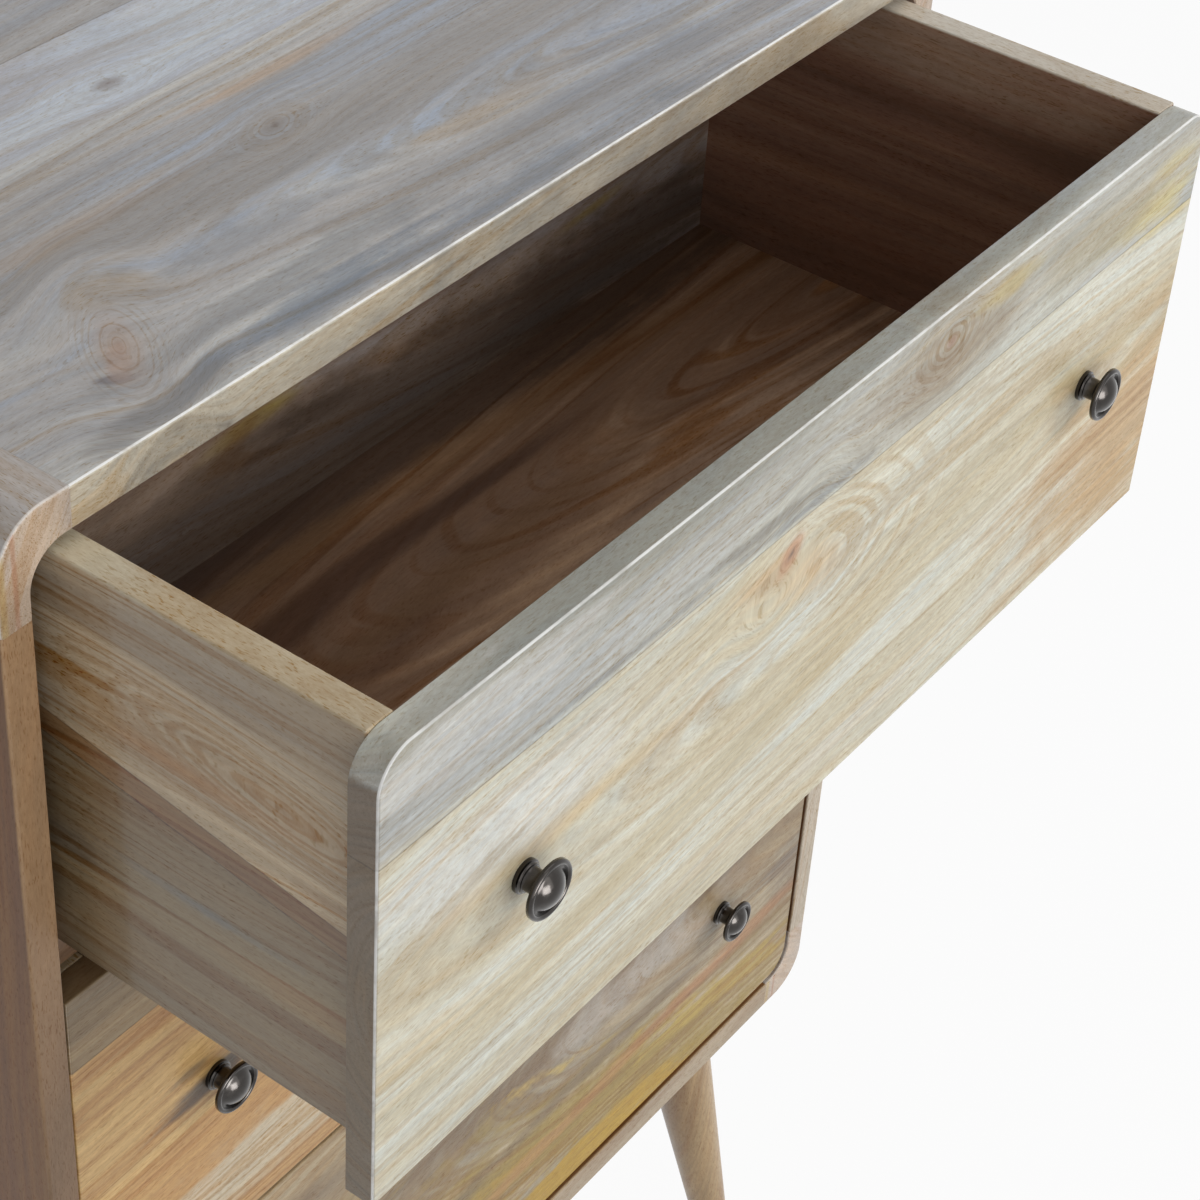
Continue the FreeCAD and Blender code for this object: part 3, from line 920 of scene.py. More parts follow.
CASE_SIDE = WoodFinish(
    "case_side", Lay.CASE_SIDE, CASE_BROWN, seed=5.3, heart=(0.6, 0.05, -0.40), figure=0.3,
    strips=(Strip(0.05, CASE_BROWN),), coat=0.08, specular=0.25,
    stains=(
        # painted light: the front edge is painted paler than the outer face of the same board, as where light
        # falls on it
        front_band(dye(184, 150, 114), middle=0.69),
        front_band(dye(126, 99, 74), middle=0.60, length=0.40),
    ),
)
CASE_SIDE_PALE = replace(CASE_SIDE, stains=(front_band(dye(202, 190, 172), middle=0.69),))
CASE_BASE = WoodFinish(
    "case_base", Lay.PLANK, CASE_BROWN, seed=9.2, heart=(0.0, 0.1, 0.24), strips=(Strip(0.10, CASE_BROWN),),
    stains=(front_band(dye(176, 156, 126)),),
)
CORNER_BLOCK = WoodFinish(
    "corner_block", Lay.BLOCK, BLOCK_BROWN, seed=2.2, heart=(0.0, 0.0, 0.9), figure=0.25,
    # painted highlight along the front arrises of the corner block
    edges=(ArrisHighlight(0, CASE_FACE, strength=0.5),),
    stains=(
        Stain(BAND, -0.338, 0.0022, 0.036, dye(202, 182, 162), 1.0, fray=0.0),
        Stain(BAND, -0.3575, 0.0018, 0.0035, dye(196, 166, 84), 0.55, fray=0.0),
        Stain(BAND, -0.350, 0.0018, 0.0022, dye(176, 110, 66), 0.45, fray=0.0),
    ),
)
FRONT_TOP = WoodFinish(
    "front_top", Lay.FRONT, CREAM, strips=(Strip(1.0235, ASH_CREAM),), seed=1.7,
    heart=(0.10, 0.952, -0.2626), rise=0.10, figure=0.20, slant=0.10, pores=0.24, streaks=0.20,
    # painted highlight along the arrises of the open drawer's face
    edges=(ArrisHighlight(2, OPEN_FACE, strength=0.85),), veil_share=0.45, threads=0.45,
    coat=0.15, specular=0.35,
    stains=(
        Stain(-0.260, 0.985, 0.16, 0.035, dye(226, 225, 218), 0.75),
        Stain(0.295, 1.036, 0.07, 0.020, dye(214, 196, 116), 0.70),
        Stain(0.240, 1.046, 0.09, 0.026, dye(168, 158, 130), 0.75),
        Stain(-0.170, 1.028, 0.10, 0.0045, dye(128, 128, 126), 0.65),
        Stain(-0.030, 1.028, 0.08, 0.0045, dye(124, 126, 128), 0.65),
        Stain(0.310, 1.060, 0.04, 0.008, dye(206, 190, 120), 0.45),
        Stain(-0.080, 1.036, 0.14, 0.0045, dye(124, 118, 108), 0.60, -0.04),
        Stain(-0.292, 1.058, 0.10, 0.018, dye(222, 222, 220), 0.50, fray=1.5),
        Stain(0.310, 0.885, 0.19, 0.100, dye(190, 154, 102), 0.85),
        Stain(0.0760, 1.050, 0.105, 0.034, dye(142, 124, 98), 0.75, fray=0.7),
        Stain(0.130, 1.066, 0.050, 0.012, dye(196, 174, 104), 0.60),
        Stain(-0.070, 1.004, 0.040, 0.014, dye(200, 164, 116), 0.55),
        Stain(-0.180, 0.960, 0.20, 0.010, dye(206, 176, 124), 0.50),
        Stain(-0.300, 0.900, 0.10, 0.020, dye(204, 180, 132), 0.45),
        Stain(0.050, 0.850, 0.22, 0.016, dye(216, 210, 196), 0.50),
        Stain(-0.3402, 0.950, 0.0016, 0.5, dye(118, 100, 80), 0.90, fray=0.0),
    ),
    knots=(
        Knot(-0.0475, 1.0075, 0.0065, dye(186, 124, 88), 8.0, 0.5, dye(92, 74, 62), 1.1, 0.016, 0.006),
        Knot(
            -0.0300, 0.9860, 0.0100, dye(208, 184, 146), 5.0, -0.1, dye(204, 174, 132), 1.9,
            swirl=0.110, pitch=0.012, side=1.0, ink=1.35, ceiling=1.022,
        ),
        Knot(
            0.0804, 1.0594, 0.0025, dye(150, 108, 84), 14.0, 0.0, dye(106, 66, 54), 1.6,
            swirl=0.036, pitch=0.0045, ink=1.6,
        ),
    ),
)
FRONT_MIDDLE = WoodFinish(
    "front_middle", Lay.FRONT, HONEY, strips=(Strip(0.771, UMBER_GREY),), seed=4.4,
    heart=(-0.30, 0.735, -0.0766), rise=0.10, figure=0.34, pores=0.28, streaks=0.24, veil_share=0.35,
    coat=0.15, specular=0.35,
    stains=(
        Stain(-0.250, 0.686, 0.045, 0.010, dye(92, 84, 76), 0.85, 0.1),
        Stain(-0.262, 0.705, 0.020, 0.006, dye(104, 92, 80), 0.60),
        Stain(-0.180, 0.600, 0.16, 0.030, dye(212, 204, 182), 0.75),
        Stain(0.240, 0.640, 0.16, 0.030, dye(150, 134, 112), 0.60),
    ),
)
FRONT_BOTTOM = WoodFinish(
    "front_bottom", Lay.FRONT, DRIFT_GREY, seed=7.9, heart=(0.4, 0.45, -0.08), rise=0.2,
    figure=0.30, pores=0.28, streaks=0.40, veil_share=0.55, drift=0.14, coat=0.15, specular=0.35,
    stains=(
        Stain(0.120, 0.345, 0.42, 0.090, dye(158, 132, 56), 0.92, -0.30, 1.3),
        Stain(0.130, 0.300, 0.18, 0.045, dye(190, 149, 22), 0.80, -0.20, 2.0),
        Stain(0.230, 0.352, 0.12, 0.018, dye(192, 164, 76), 0.70, -0.25, 2.2),
        Stain(0.060, 0.428, 0.08, 0.012, dye(206, 174, 64), 0.70, -0.35, 2.0),
        Stain(0.130, 0.440, 0.14, 0.030, dye(196, 188, 178), 0.60),
        Stain(0.100, 0.395, 0.30, 0.012, dye(112, 96, 84), 0.60, 0.03),
        Stain(0.230, 0.376, 0.16, 0.010, dye(180, 130, 84), 0.80, 0.05),
        Stain(0.060, 0.362, 0.16, 0.009, dye(184, 138, 82), 0.70, 0.06),
        Stain(0.335, 0.410, 0.05, 0.028, dye(118, 102, 90), 0.65),
        Stain(-0.150, 0.420, 0.16, 0.018, dye(150, 122, 94), 0.60),
    ),
)
DRAWER_SIDE = WoodFinish(
    "drawer_side", Lay.DRAWER_SIDE, SIDE_DARK, seed=8.9, heart=(-0.20, 0.985, -0.329), rise=0.10, figure=0.5,
    strips=(Strip(0.984, SIDE_STRIPE, 0.15), Strip(0.998, SIDE_BROWN, 0.15)), veil_share=0.35, streaks=0.40,
    stains=(
        rim_band(dye(206, 196, 170), 0.75),
        Stain(-0.150, 1.000, 0.09, 0.008, dye(190, 150, 104), 0.55),
        Stain(-0.160, 0.925, 0.10, 0.006, dye(112, 118, 122), 0.55),
        Stain(-0.230, 0.905, 0.08, 0.012, dye(168, 132, 84), 0.55),
        Stain(-0.080, 0.915, 0.04, 0.020, dye(96, 82, 70), 0.50),
        Stain(-0.230, 0.975, 0.03, 0.006, dye(150, 116, 80), 0.50),
    ),
    knots=(
        Knot(
            -0.200, 1.012, 0.003, dye(200, 178, 146), 12.0, 0.15, dye(192, 168, 136), 4.5,
            swirl=0.045, pitch=0.009, ink=0.85,
        ),
    ),
)
DRAWER_SIDE_PLAIN = WoodFinish(
    "drawer_side_plain", Lay.DRAWER_SIDE, SIDE_RUSSET, seed=10.6, heart=(0.1, 1.2, 0.329), rise=0.05,
    figure=0.15, veil_share=0.25,
    stains=(
        Stain(-0.060, 1.066, 0.30, 0.030, dye(170, 146, 126), 0.70),
        rim_band(dye(200, 194, 180), 0.85),
    ),
)
DRAWER_BACK = WoodFinish(
    "drawer_back", Lay.FRONT, BACK_UMBER, seed=18.0, heart=(0.3, 0.95, 0.0), veil_share=0.6,
    stains=(
        Stain(-0.0865, 0.9620, 0.05, 0.008, dye(172, 150, 66), 0.75, 0.1),
        Stain(-0.090, 0.945, 0.08, 0.012, dye(74, 64, 56), 0.65),
        Stain(0.198, 0.958, 0.05, 0.006, dye(160, 138, 70), 0.70, 0.1),
        # painted shade: a dark band along the lower part of the back, where the drawer front shades it
        Stain(0.000, 0.920, 1.60, 0.052, dye(60, 46, 36), 0.74),
        # painted light: pale patches at the upper left of the back, where light over the front falls on it
        Stain(-0.180, 1.000, 0.22, 0.034, dye(174, 158, 142), 0.52),
        Stain(-0.190, 0.958, 0.13, 0.026, dye(190, 166, 144), 0.24, fray=1.6),
    ),
)
DRAWER_FLOOR = WoodFinish(
    "drawer_floor", Lay.PLANK, FLOOR_UMBER, seed=12.4, heart=(0.12, -0.07, 0.86), rise=0.14, figure=0.42,
    veil_share=0.35, streaks=0.3, drift=0.10, pores=0.25,
    stains=(
        # painted shadow: a dark band along the floor at the foot of the drawer back
        Stain(0.02, 0.030, 1.20, 0.036, dye(66, 48, 37), 0.70),
        Stain(0.30, -0.16, 0.18, 0.070, dye(76, 54, 40), 0.60),
        Stain(0.08, -0.004, 0.30, 0.012, dye(158, 120, 82), 0.60, -0.05),
        Stain(-0.10, -0.07, 0.26, 0.010, dye(142, 108, 76), 0.50),
    ),
)
INNER_WOOD = WoodFinish("inner_brown", Lay.DRAWER_SIDE, INNER_TONES, seed=15.2)
RAIL_WOOD = WoodFinish("rail_brown", Lay.PLANK, INNER_TONES, seed=13.7)
LEG_WOOD = WoodFinish(
    "leg_honey", Lay.CASE_SIDE, LEG_TONES, seed=21.7, veil_share=0.25, figure=0.20, pores=0.34, streaks=0.2,
    heart=(0.0, 0.0, 0.22), rise=0.15,
)
BACK_BOARD = WoodFinish(
    "back_board", Lay.CASE_SIDE, BACK_TONES, seed=25.3, roughness=0.55, coat=0.0,
    strips=(Strip(-0.18, BACK_TONES), Strip(0.02, BACK_TONES), Strip(0.2, BACK_TONES)),
)
DOWEL_WOOD = replace(LEG_WOOD, name="dowel_beech", lay=Lay.PLANK, seed=31.0, coat=0.0)
KNOB_METAL = MetalFinish(
    "knob_gunmetal", dye(51, 47, 44), dye(66, 62, 59), roughness=0.19, relief=0.02, coat=0.5
)
SCREW_STEEL = MetalFinish("screw_steel", dye(150, 150, 152), dye(176, 176, 176), roughness=0.34)
INSERT_BRASS = MetalFinish("insert_brass", dye(182, 148, 92), dye(150, 118, 70), roughness=0.38)


# ---- meshes ----------------------------------------------------------------------


def corner_outline(
    half: float, low: float, high: float, upper: float, lower: float, inset: float = 0.0, steps: int = 12
) -> list[Flat]:
    """Rectangle centred on X = 0 with rounded corners, seen from the front.

    Args:
        half: half its width.
        low: height of its lower edge.
        high: height of its upper edge.
        upper: radius of the upper corners; 0 is a plain corner.
        lower: radius of the lower corners.
        inset: how far the whole outline is drawn in.
        steps: chords of each rounded corner.

    Returns:
        Points as (x, z), counterclockwise seen from the front; the same number for any inset.
    """
    points = []
    corners = (
        (1, low, lower, -RIGHT_ANGLE),
        (1, high, upper, 0),
        (-1, high, upper, RIGHT_ANGLE),
        (-1, low, lower, 2 * RIGHT_ANGLE),
    )
    for side, z, radius, start in corners:
        inwards = 1 if z == low else -1
        centre_x = side * (half - max(radius, inset))
        centre_z = z + inwards * max(radius, inset)
        reach = max(radius - inset, 0.0)
        for step in range(steps + 1 if radius else 1):
            angle = math.radians(start + RIGHT_ANGLE * step / steps)
            points.append((centre_x + reach * math.cos(angle), centre_z + reach * math.sin(angle)))
    return points


def quarter(radius: float, steps: int) -> list[Flat]:
    """Inset and depth along a rounded edge, from the face to the side."""
    turns = [math.pi / 2 * step / steps for step in range(steps + 1)]
    return [(radius * (1 - math.sin(turn)), radius * (1 - math.cos(turn))) for turn in turns]


def loft(mesh: bmesh.types.BMesh, rings: Sequence[Sequence[Point]]) -> None:
    """Skin over rings, closed at both ends.

    Args:
        mesh: where the skin goes.
        rings: rings of equal point counts, in order.
    """
    rows = [[mesh.verts.new(point) for point in ring] for ring in rings]
    for first, second in zip(rows, rows[1:]):
        for index in range(len(first)):
            after = (index + 1) % len(first)
            mesh.faces.new((first[index], first[after], second[after], second[index]))
    mesh.faces.new(rows[0])
    mesh.faces.new(rows[-1])


def bevel(mesh: bmesh.types.BMesh, faces: Sequence[bmesh.types.BMFace], ease: float, steps: int) -> None:
    """Rounds every edge of some faces.

    Args:
        mesh: the mesh.
        faces: the faces.
        ease: radius of the rounding.
        steps: facets of it.
    """
    edges = list(dict.fromkeys(edge for face in faces for edge in face.edges))
    bmesh.ops.bevel(mesh, geom=edges, offset=ease, segments=steps, profile=0.5, affect="EDGES")


def block(mesh: bmesh.types.BMesh, low: Vector, high: Vector, ease: float, steps: int = 2) -> None:
    """Board with all its edges eased.

    Args:
        mesh: where the board goes.
        low: its lowest corner.
        high: its highest corner.
        ease: radius of its arrises.
        steps: facets of each arris.
    """
    sides = (0, 1)
    size = high - low
    corners = {
        (i, j, k): mesh.verts.new((low.x + i * size.x, low.y + j * size.y, low.z + k * size.z))
        for i in sides for j in sides for k in sides
    }
    loops = (
        ((0, 0, 0), (0, 1, 0), (1, 1, 0), (1, 0, 0)), ((0, 0, 1), (1, 0, 1), (1, 1, 1), (0, 1, 1)),
        ((0, 0, 0), (1, 0, 0), (1, 0, 1), (0, 0, 1)), ((0, 1, 0), (0, 1, 1), (1, 1, 1), (1, 1, 0)),
        ((0, 0, 0), (0, 0, 1), (0, 1, 1), (0, 1, 0)), ((1, 0, 0), (1, 1, 0), (1, 1, 1), (1, 0, 1)),
    )
    faces = [mesh.faces.new([corners[key] for key in loop]) for loop in loops]
    bevel(mesh, faces, ease, steps)


def turned(mesh: bmesh.types.BMesh, profile: Sequence[Flat], sides: int) -> None:
    """Solid turned about the Y axis.

    Args:
        mesh: where the solid goes.
        profile: its outline as (radius, y), from axis to axis.
        sides: facets round the axis.
    """
    first, *middle, last = profile
    turns = [2 * math.pi * step / sides for step in range(sides)]
    rings = [
        [mesh.verts.new((radius * math.cos(turn), y, radius * math.sin(turn))) for turn in turns]
        for radius, y in middle
    ]
    ends = (mesh.verts.new((0, first[1], 0)), mesh.verts.new((0, last[1], 0)))
    for near, far in zip(rings, rings[1:]):
        for step in range(sides):
            after = (step + 1) % sides
            mesh.faces.new((near[step], near[after], far[after], far[step]))
    for ring, tip in ((rings[0], ends[0]), (rings[-1], ends[1])):
        for step in range(sides):
            mesh.faces.new((ring[step], ring[(step + 1) % sides], tip))


def stand(name: str, data: bpy.types.ID) -> bpy.types.Object:
    """Puts an object in the scene, at the origin.

    Args:
        name: name of the object.
        data: its mesh, lamp or camera.

    Returns:
        The object.
    """
    placed = bpy.data.objects.new(name, data)
    bpy.context.scene.collection.objects.link(placed)
    return placed


def settle(piece: bpy.types.Object) -> bpy.types.Object:
    """Replaces a piece's mesh by what its modifiers make of it, and drops the modifiers.

    Args:
        piece: the piece with its modifiers.

    Returns:
        The same piece, a plain mesh.
    """
    bpy.context.view_layer.update()
    graph = bpy.context.evaluated_depsgraph_get()
    made = bpy.data.meshes.new_from_object(
        piece.evaluated_get(graph), preserve_all_data_layers=True, depsgraph=graph
    )
    made.name = piece.name
    piece.modifiers.clear()
    piece.data = made
    return piece


def soften(piece: bpy.types.Object) -> bpy.types.Object:
    """Smooth shading with crisp arrises, kept in the mesh's own normals.

    Args:
        piece: a plain mesh.

    Returns:
        The same piece.
    """
    piece.data.polygons.foreach_set("use_smooth", [True] * len(piece.data.polygons))
    piece.data.set_sharp_from_angle(angle=SHARP)
    weigh = piece.modifiers.new("weigh", "WEIGHTED_NORMAL")
    weigh.mode = "FACE_AREA"
    weigh.keep_sharp = True
    return settle(piece)


def as_piece(mesh: bmesh.types.BMesh, name: str) -> bpy.types.Object:
    """Object of a finished mesh, with its faces turned outwards.

    Args:
        mesh: the mesh, freed here.
        name: name of the object.

    Returns:
        The object, at the origin.
    """
    bmesh.ops.remove_doubles(mesh, verts=mesh.verts, dist=SAME_PLACE)
    bmesh.ops.recalc_face_normals(mesh, faces=mesh.faces)
    data = bpy.data.meshes.new(name)
    mesh.to_mesh(data)
    mesh.free()
    return stand(name, data)


class Workshop:
    """Makes pieces, gives each its finish and puts it on its body."""

    def __init__(self) -> None:
        """Starts with no finishes made and no pieces counted."""
        self.made: dict[str, bpy.types.Material] = {}
        self.pieces: list[str] = []

    def finish(self, finish: Finish) -> bpy.types.Material:
        """Material of a finish, made once.

        Args:
            finish: the finish.

        Returns:
            Its material.
        """
        if finish.name not in self.made:
            self.made[finish.name] = finish.material()
        return self.made[finish.name]

    def fit(
        self, piece: bpy.types.Object, body: str, nodes: Sequence[str], slot: str, finish: Finish
    ) -> None:
        """Puts a finished piece in its place on the chest.

        Args:
            piece: the piece, its place in its mesh.
            body: the body that it moves with.
            nodes: the nodes that it stands for.
            slot: the material slot of its finish; not used.
            finish: the finish itself.
        """
        piece.data.materials.clear()
        piece.data.materials.append(self.finish(finish))
        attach(piece, body)
        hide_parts(*nodes)
        self.pieces.append(piece.name)
        log.info("%s on %s: %d faces, %s", piece.name, body, len(piece.data.polygons), finish.name)

    def dress(self, nodes: Sequence[str], finish: Finish) -> None:
        """Gives solids that stay as they are a finish.

        Args:
            nodes: names of the solids.
            finish: their finish.
        """
        material = self.finish(finish)
        for name in nodes:
            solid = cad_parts[name]
            if not solid.material_slots:
                solid.data.materials.append(material)
            for slot in solid.material_slots:
                slot.material = material
            self.pieces.append(name)
        log.info("%d solids in %s", len(nodes), finish.name)


class Recipe:
    """A Geometry Nodes tree with named inputs, which makes one mesh at a time."""

    def __init__(self, name: str, kinds: dict[str, str]) -> None:
        """Starts the tree with its inputs and its output.

        Args:
            name: name of the tree.
            kinds: kind of socket for each input, by its name.
        """
        self.tree = bpy.data.node_groups.new(name, "GeometryNodeTree")
        face = self.tree.interface
        self.keys = {
            key: face.new_socket(key, in_out="INPUT", socket_type="NodeSocket" + kind).identifier
            for key, kind in kinds.items()
        }
        face.new_socket("Geometry", in_out="OUTPUT", socket_type="NodeSocketGeometry")
        self.bench = Bench(self.tree)
        self.group = self.bench.node("NodeGroupInput")

    def given(self, name: str) -> Reading:
        """One of the tree's inputs."""
        return self.bench.read(self.group, name)

    def ends_in(self, made: bpy.types.Node) -> None:
        """Ends the tree: what is made gets the finish given.

        Args:
            made: the node that makes it.
        """
        inputs = {"Geometry": made, "Material": self.given("Finish")}
        clad = self.bench.node("GeometryNodeSetMaterial", None, inputs)
        self.bench.node("NodeGroupOutput", None, {"Geometry": clad})

    def make(self, name: str, values: dict) -> bpy.types.Object:
        """Runs the tree.

        Args:
            name: name of the object.
            values: a value for each input.

        Returns:
            The object, a plain mesh with its material.
        """
        piece = stand(name, bpy.data.meshes.new(name))
        modifier = piece.modifiers.new(name, "NODES")
        modifier.node_group = self.tree
        for key, value in values.items():
            modifier[self.keys[key]] = value
        return settle(piece)


class Row(Recipe):
    """Repeats one piece at even steps."""

    TURN_SEED = 4

    def __init__(self) -> None:
        """Builds the tree."""
        super().__init__("row_of_pieces", {
            "Count": "Int", "Start": "Vector", "Step": "Vector",
            "Turn": "Float", "Piece": "Object", "Finish": "Material",
        })
        bench = self.bench
        line = bench.node("GeometryNodeMeshLine", {"mode": "OFFSET"}, {
            "Count": self.given("Count"), "Start Location": self.given("Start"), "Offset": self.given("Step"),
        })
        chance = bench.node("FunctionNodeRandomValue", {"data_type": "FLOAT"}, {"Seed": self.TURN_SEED})
        turn = bench.read(chance, 1).swing(self.given("Turn"))
        source = bench.node("GeometryNodeObjectInfo", None, {"Object": self.given("Piece")})
        placed = bench.node("GeometryNodeInstanceOnPoints", None, {
            "Points": line,
            "Instance": bench.read(source, "Geometry"),
            "Rotation": bench.vector(0.0, turn, 0.0),
        })
        self.ends_in(bench.node("GeometryNodeRealizeInstances", None, {0: placed}))

    def lay(
        self,
        name: str,
        template: bpy.types.Object,
        starts: Sequence[tuple[Point, Point, int]],
        turn: float,
        finish: bpy.types.Material,
    ) -> bpy.types.Object:
        """One plain mesh of all the rows of a piece.

        Args:
            name: name of the piece.
            template: the shape that is repeated, about the origin.
            starts: for each row its first place, its step and its count.
            turn: spread of the turn about Y from piece to piece, in radians.
            finish: material of the pieces.

        Returns:
            The object, with no modifiers left.
        """
        piece = stand(name, bpy.data.meshes.new(name))
        joined = bmesh.new()
        for start, step, count in starts:
            values = {
                "Count": count, "Start": start, "Step": step,
                "Turn": turn, "Piece": template, "Finish": finish,
            }
            made = self.make("row", values).data
            joined.from_mesh(made)
            bpy.data.meshes.remove(made)
        joined.to_mesh(piece.data)
        joined.free()
        return piece


# ---- the case --------------------------------------------------------------------


@dataclass
class CaseShell:
    """Top, sides, bottom, corner blocks and back of the case."""

    workshop: Workshop
    outer_radius: float = 28 * MM
    inner_radius: float = 21 * MM
    front_round: float = 1.5 * MM
    inner_round: float = 1 * MM
    back_lap: float = 9 * MM
    back_fit: float = 0.4 * MM
    back_ease: float = 0.4 * MM
    joint_ease: float = 0.4 * MM
    arc_steps: int = 16
    front_steps: int = 6
    inner_steps: int = 3

    def __post_init__(self) -> None:
        """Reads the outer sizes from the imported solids."""
        left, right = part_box("side_panel_left"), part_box("side_panel_right")
        plank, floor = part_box("top_plank_front"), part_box("bottom_panel")
        self.half = right[1].x
        self.inner_half = right[0].x
        self.block_half = plank[1].x
        self.front, self.rear = left[0].y, left[1].y
        self.plank_joint = plank[1].y
        self.top, self.bottom = plank[1].z, floor[0].z
        self.ceiling, self.floor = plank[0].z, floor[1].z
        self.side_low, self.side_high = left[0].z, left[1].z
        self.panel_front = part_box("back_panel")[0].y

    def section(self, y0: float, y1: float) -> list[tuple[float, float, bool]]:
        """Outline across the wall, as distances from a face and places in depth.

        Args:
            y0: where the strip starts.
            y1: where it ends.

        Returns:
            Points as (distance, y, True for a distance from the outer face), in order.
        """
        points = []
        if y0 == self.front:
            inner = quarter(self.inner_round, self.inner_steps)
            outer = quarter(self.front_round, self.front_steps)
            points += [(reach, y0 + depth, False) for reach, depth in reversed(inner)]
            points += [(reach, y0 + depth, True) for reach, depth in outer]
        else:
            points += [(0.0, y0, False), (0.0, y0, True)]
        points.append((0.0, y1, True))
        if y1 == self.rear:
            points += [(self.back_lap, y1, False), (self.back_lap, self.panel_front, False)]
            points.append((0.0, self.panel_front, False))
        else:
            points.append((0.0, y1, False))
        return points

    def strip(
        self, name: str, stations: Sequence[tuple[Flat, Flat]], y0: float, y1: float
    ) -> bpy.types.Object:
        """Wall strip along stations, each an outer and an inner point as (x, z).

        The two ends are the last faces that the skin gets.

        Args:
            name: name of the piece.
            stations: the pairs of points, in order round the case.
            y0: where the strip starts in depth.
            y1: where it ends.

        Returns:
            The piece, its end arrises eased by a hair.
        """
        mesh = bmesh.new()
        rings = []
        for outer, inner in stations:
            inwards = (Vector(inner) - Vector(outer)).normalized()
            ring = []
            for distance, y, from_outer in self.section(y0, y1):
                base = Vector(inner) - inwards * distance
                if from_outer:
                    base = Vector(outer) + inwards * distance
                ring.append((base.x, y, base.y))
            rings.append(ring)
        loft(mesh, rings)
        bevel(mesh, list(mesh.faces)[-2:], self.joint_ease, 1)
        return soften(as_piece(mesh, name))

    def arc(self, side: int, up: int) -> list[tuple[Flat, Flat]]:
        """Stations of a corner block, from its plank joint to its side joint.

        Args:
            side: 1 for the right-hand corner, -1 for the left-hand one.
            up: 1 for the upper corner, -1 for the lower one.

        Returns:
            Pairs of an outer and an inner point, each (x, z).
        """
        level_out = self.top if up > 0 else self.bottom
        level_in = self.ceiling if up > 0 else self.floor
        side_joint = self.side_high if up > 0 else self.side_low
        outer_x, outer_z = self.half - self.outer_radius, level_out - up * self.outer_radius
        inner_x, inner_z = self.inner_half - self.inner_radius, level_in - up * self.inner_radius
        pairs = [((side * self.block_half, level_out), (side * self.block_half, level_in))]
        for step in range(self.arc_steps + 1):
            angle = math.pi / 2 * step / self.arc_steps
            sine, cosine = math.sin(angle), math.cos(angle)
            pairs.append((
                (side * (outer_x + self.outer_radius * sine), outer_z + up * self.outer_radius * cosine),
                (side * (inner_x + self.inner_radius * sine), inner_z + up * self.inner_radius * cosine),
            ))
        pairs.append(((side * self.half, side_joint), (side * self.inner_half, side_joint)))
        return pairs

    def build(self) -> None:
        """Builds and dresses every piece of the case."""
        across = (-self.block_half, self.block_half)
        planks = (
            ("top_front_plank", "top_plank_front", self.front, self.plank_joint, TOP_FRONT_PLANK),
            ("top_rear_plank", "top_plank_back", self.plank_joint, self.rear, TOP_REAR_PLANK),
        )
        for name, node, y0, y1, finish in planks:
            stations = [((x, self.top), (x, self.ceiling)) for x in across]
            self.workshop.fit(self.strip(name, stations, y0, y1), "case", [node], "top_wood", finish)
        stations = [((x, self.bottom), (x, self.floor)) for x in across]
        base = self.strip("case_bottom", stations, self.front, self.rear)
        self.workshop.fit(base, "case", ["bottom_panel"], "case_wood", CASE_BASE)
        for hand, side in zip(HANDS, (-1, 1)):
            stations = [
                ((side * self.half, z), (side * self.inner_half, z)) for z in (self.side_low, self.side_high)
            ]
            wall = self.strip("case_side_" + hand, stations, self.front, self.rear)
            finish = (CASE_SIDE if side < 0 else CASE_SIDE_PALE).moved("case_side_" + hand, 0.0, 0.0, side)
            self.workshop.fit(wall, "case", ["side_panel_" + hand], "case_wood", finish)
            for word, up in (("top", 1), ("bottom", -1)):
                corner = self.strip(f"corner_{word}_{hand}", self.arc(side, up), self.front, self.rear)
                shift = self.half + self.block_half if side > 0 else 0.0
                finish = CORNER_BLOCK.moved(f"corner_{word}_{hand}", 0.0, shift, side + 3 * up)
                self.workshop.fit(corner, "case", [f"corner_block_{word}_{hand}"], "case_wood", finish)
        self.back()

    def back(self) -> None:
        """Builds the back panel."""
        low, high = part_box("back_panel")
        radius = self.inner_radius + self.back_lap - self.back_fit
        ease = self.back_ease
        rings = [
            [(x, y, z) for x, z in corner_outline(high.x, low.z, high.z, radius, radius, inset)]
            for inset, y in ((ease, low.y), (0, low.y + ease), (0, high.y - ease), (ease, high.y))
        ]
        mesh = bmesh.new()
        loft(mesh, rings)
        board = soften(as_piece(mesh, "case_back"))
        self.workshop.fit(board, "case", ["back_panel"], "back_board", BACK_BOARD)


# ---- the drawers -----------------------------------------------------------------


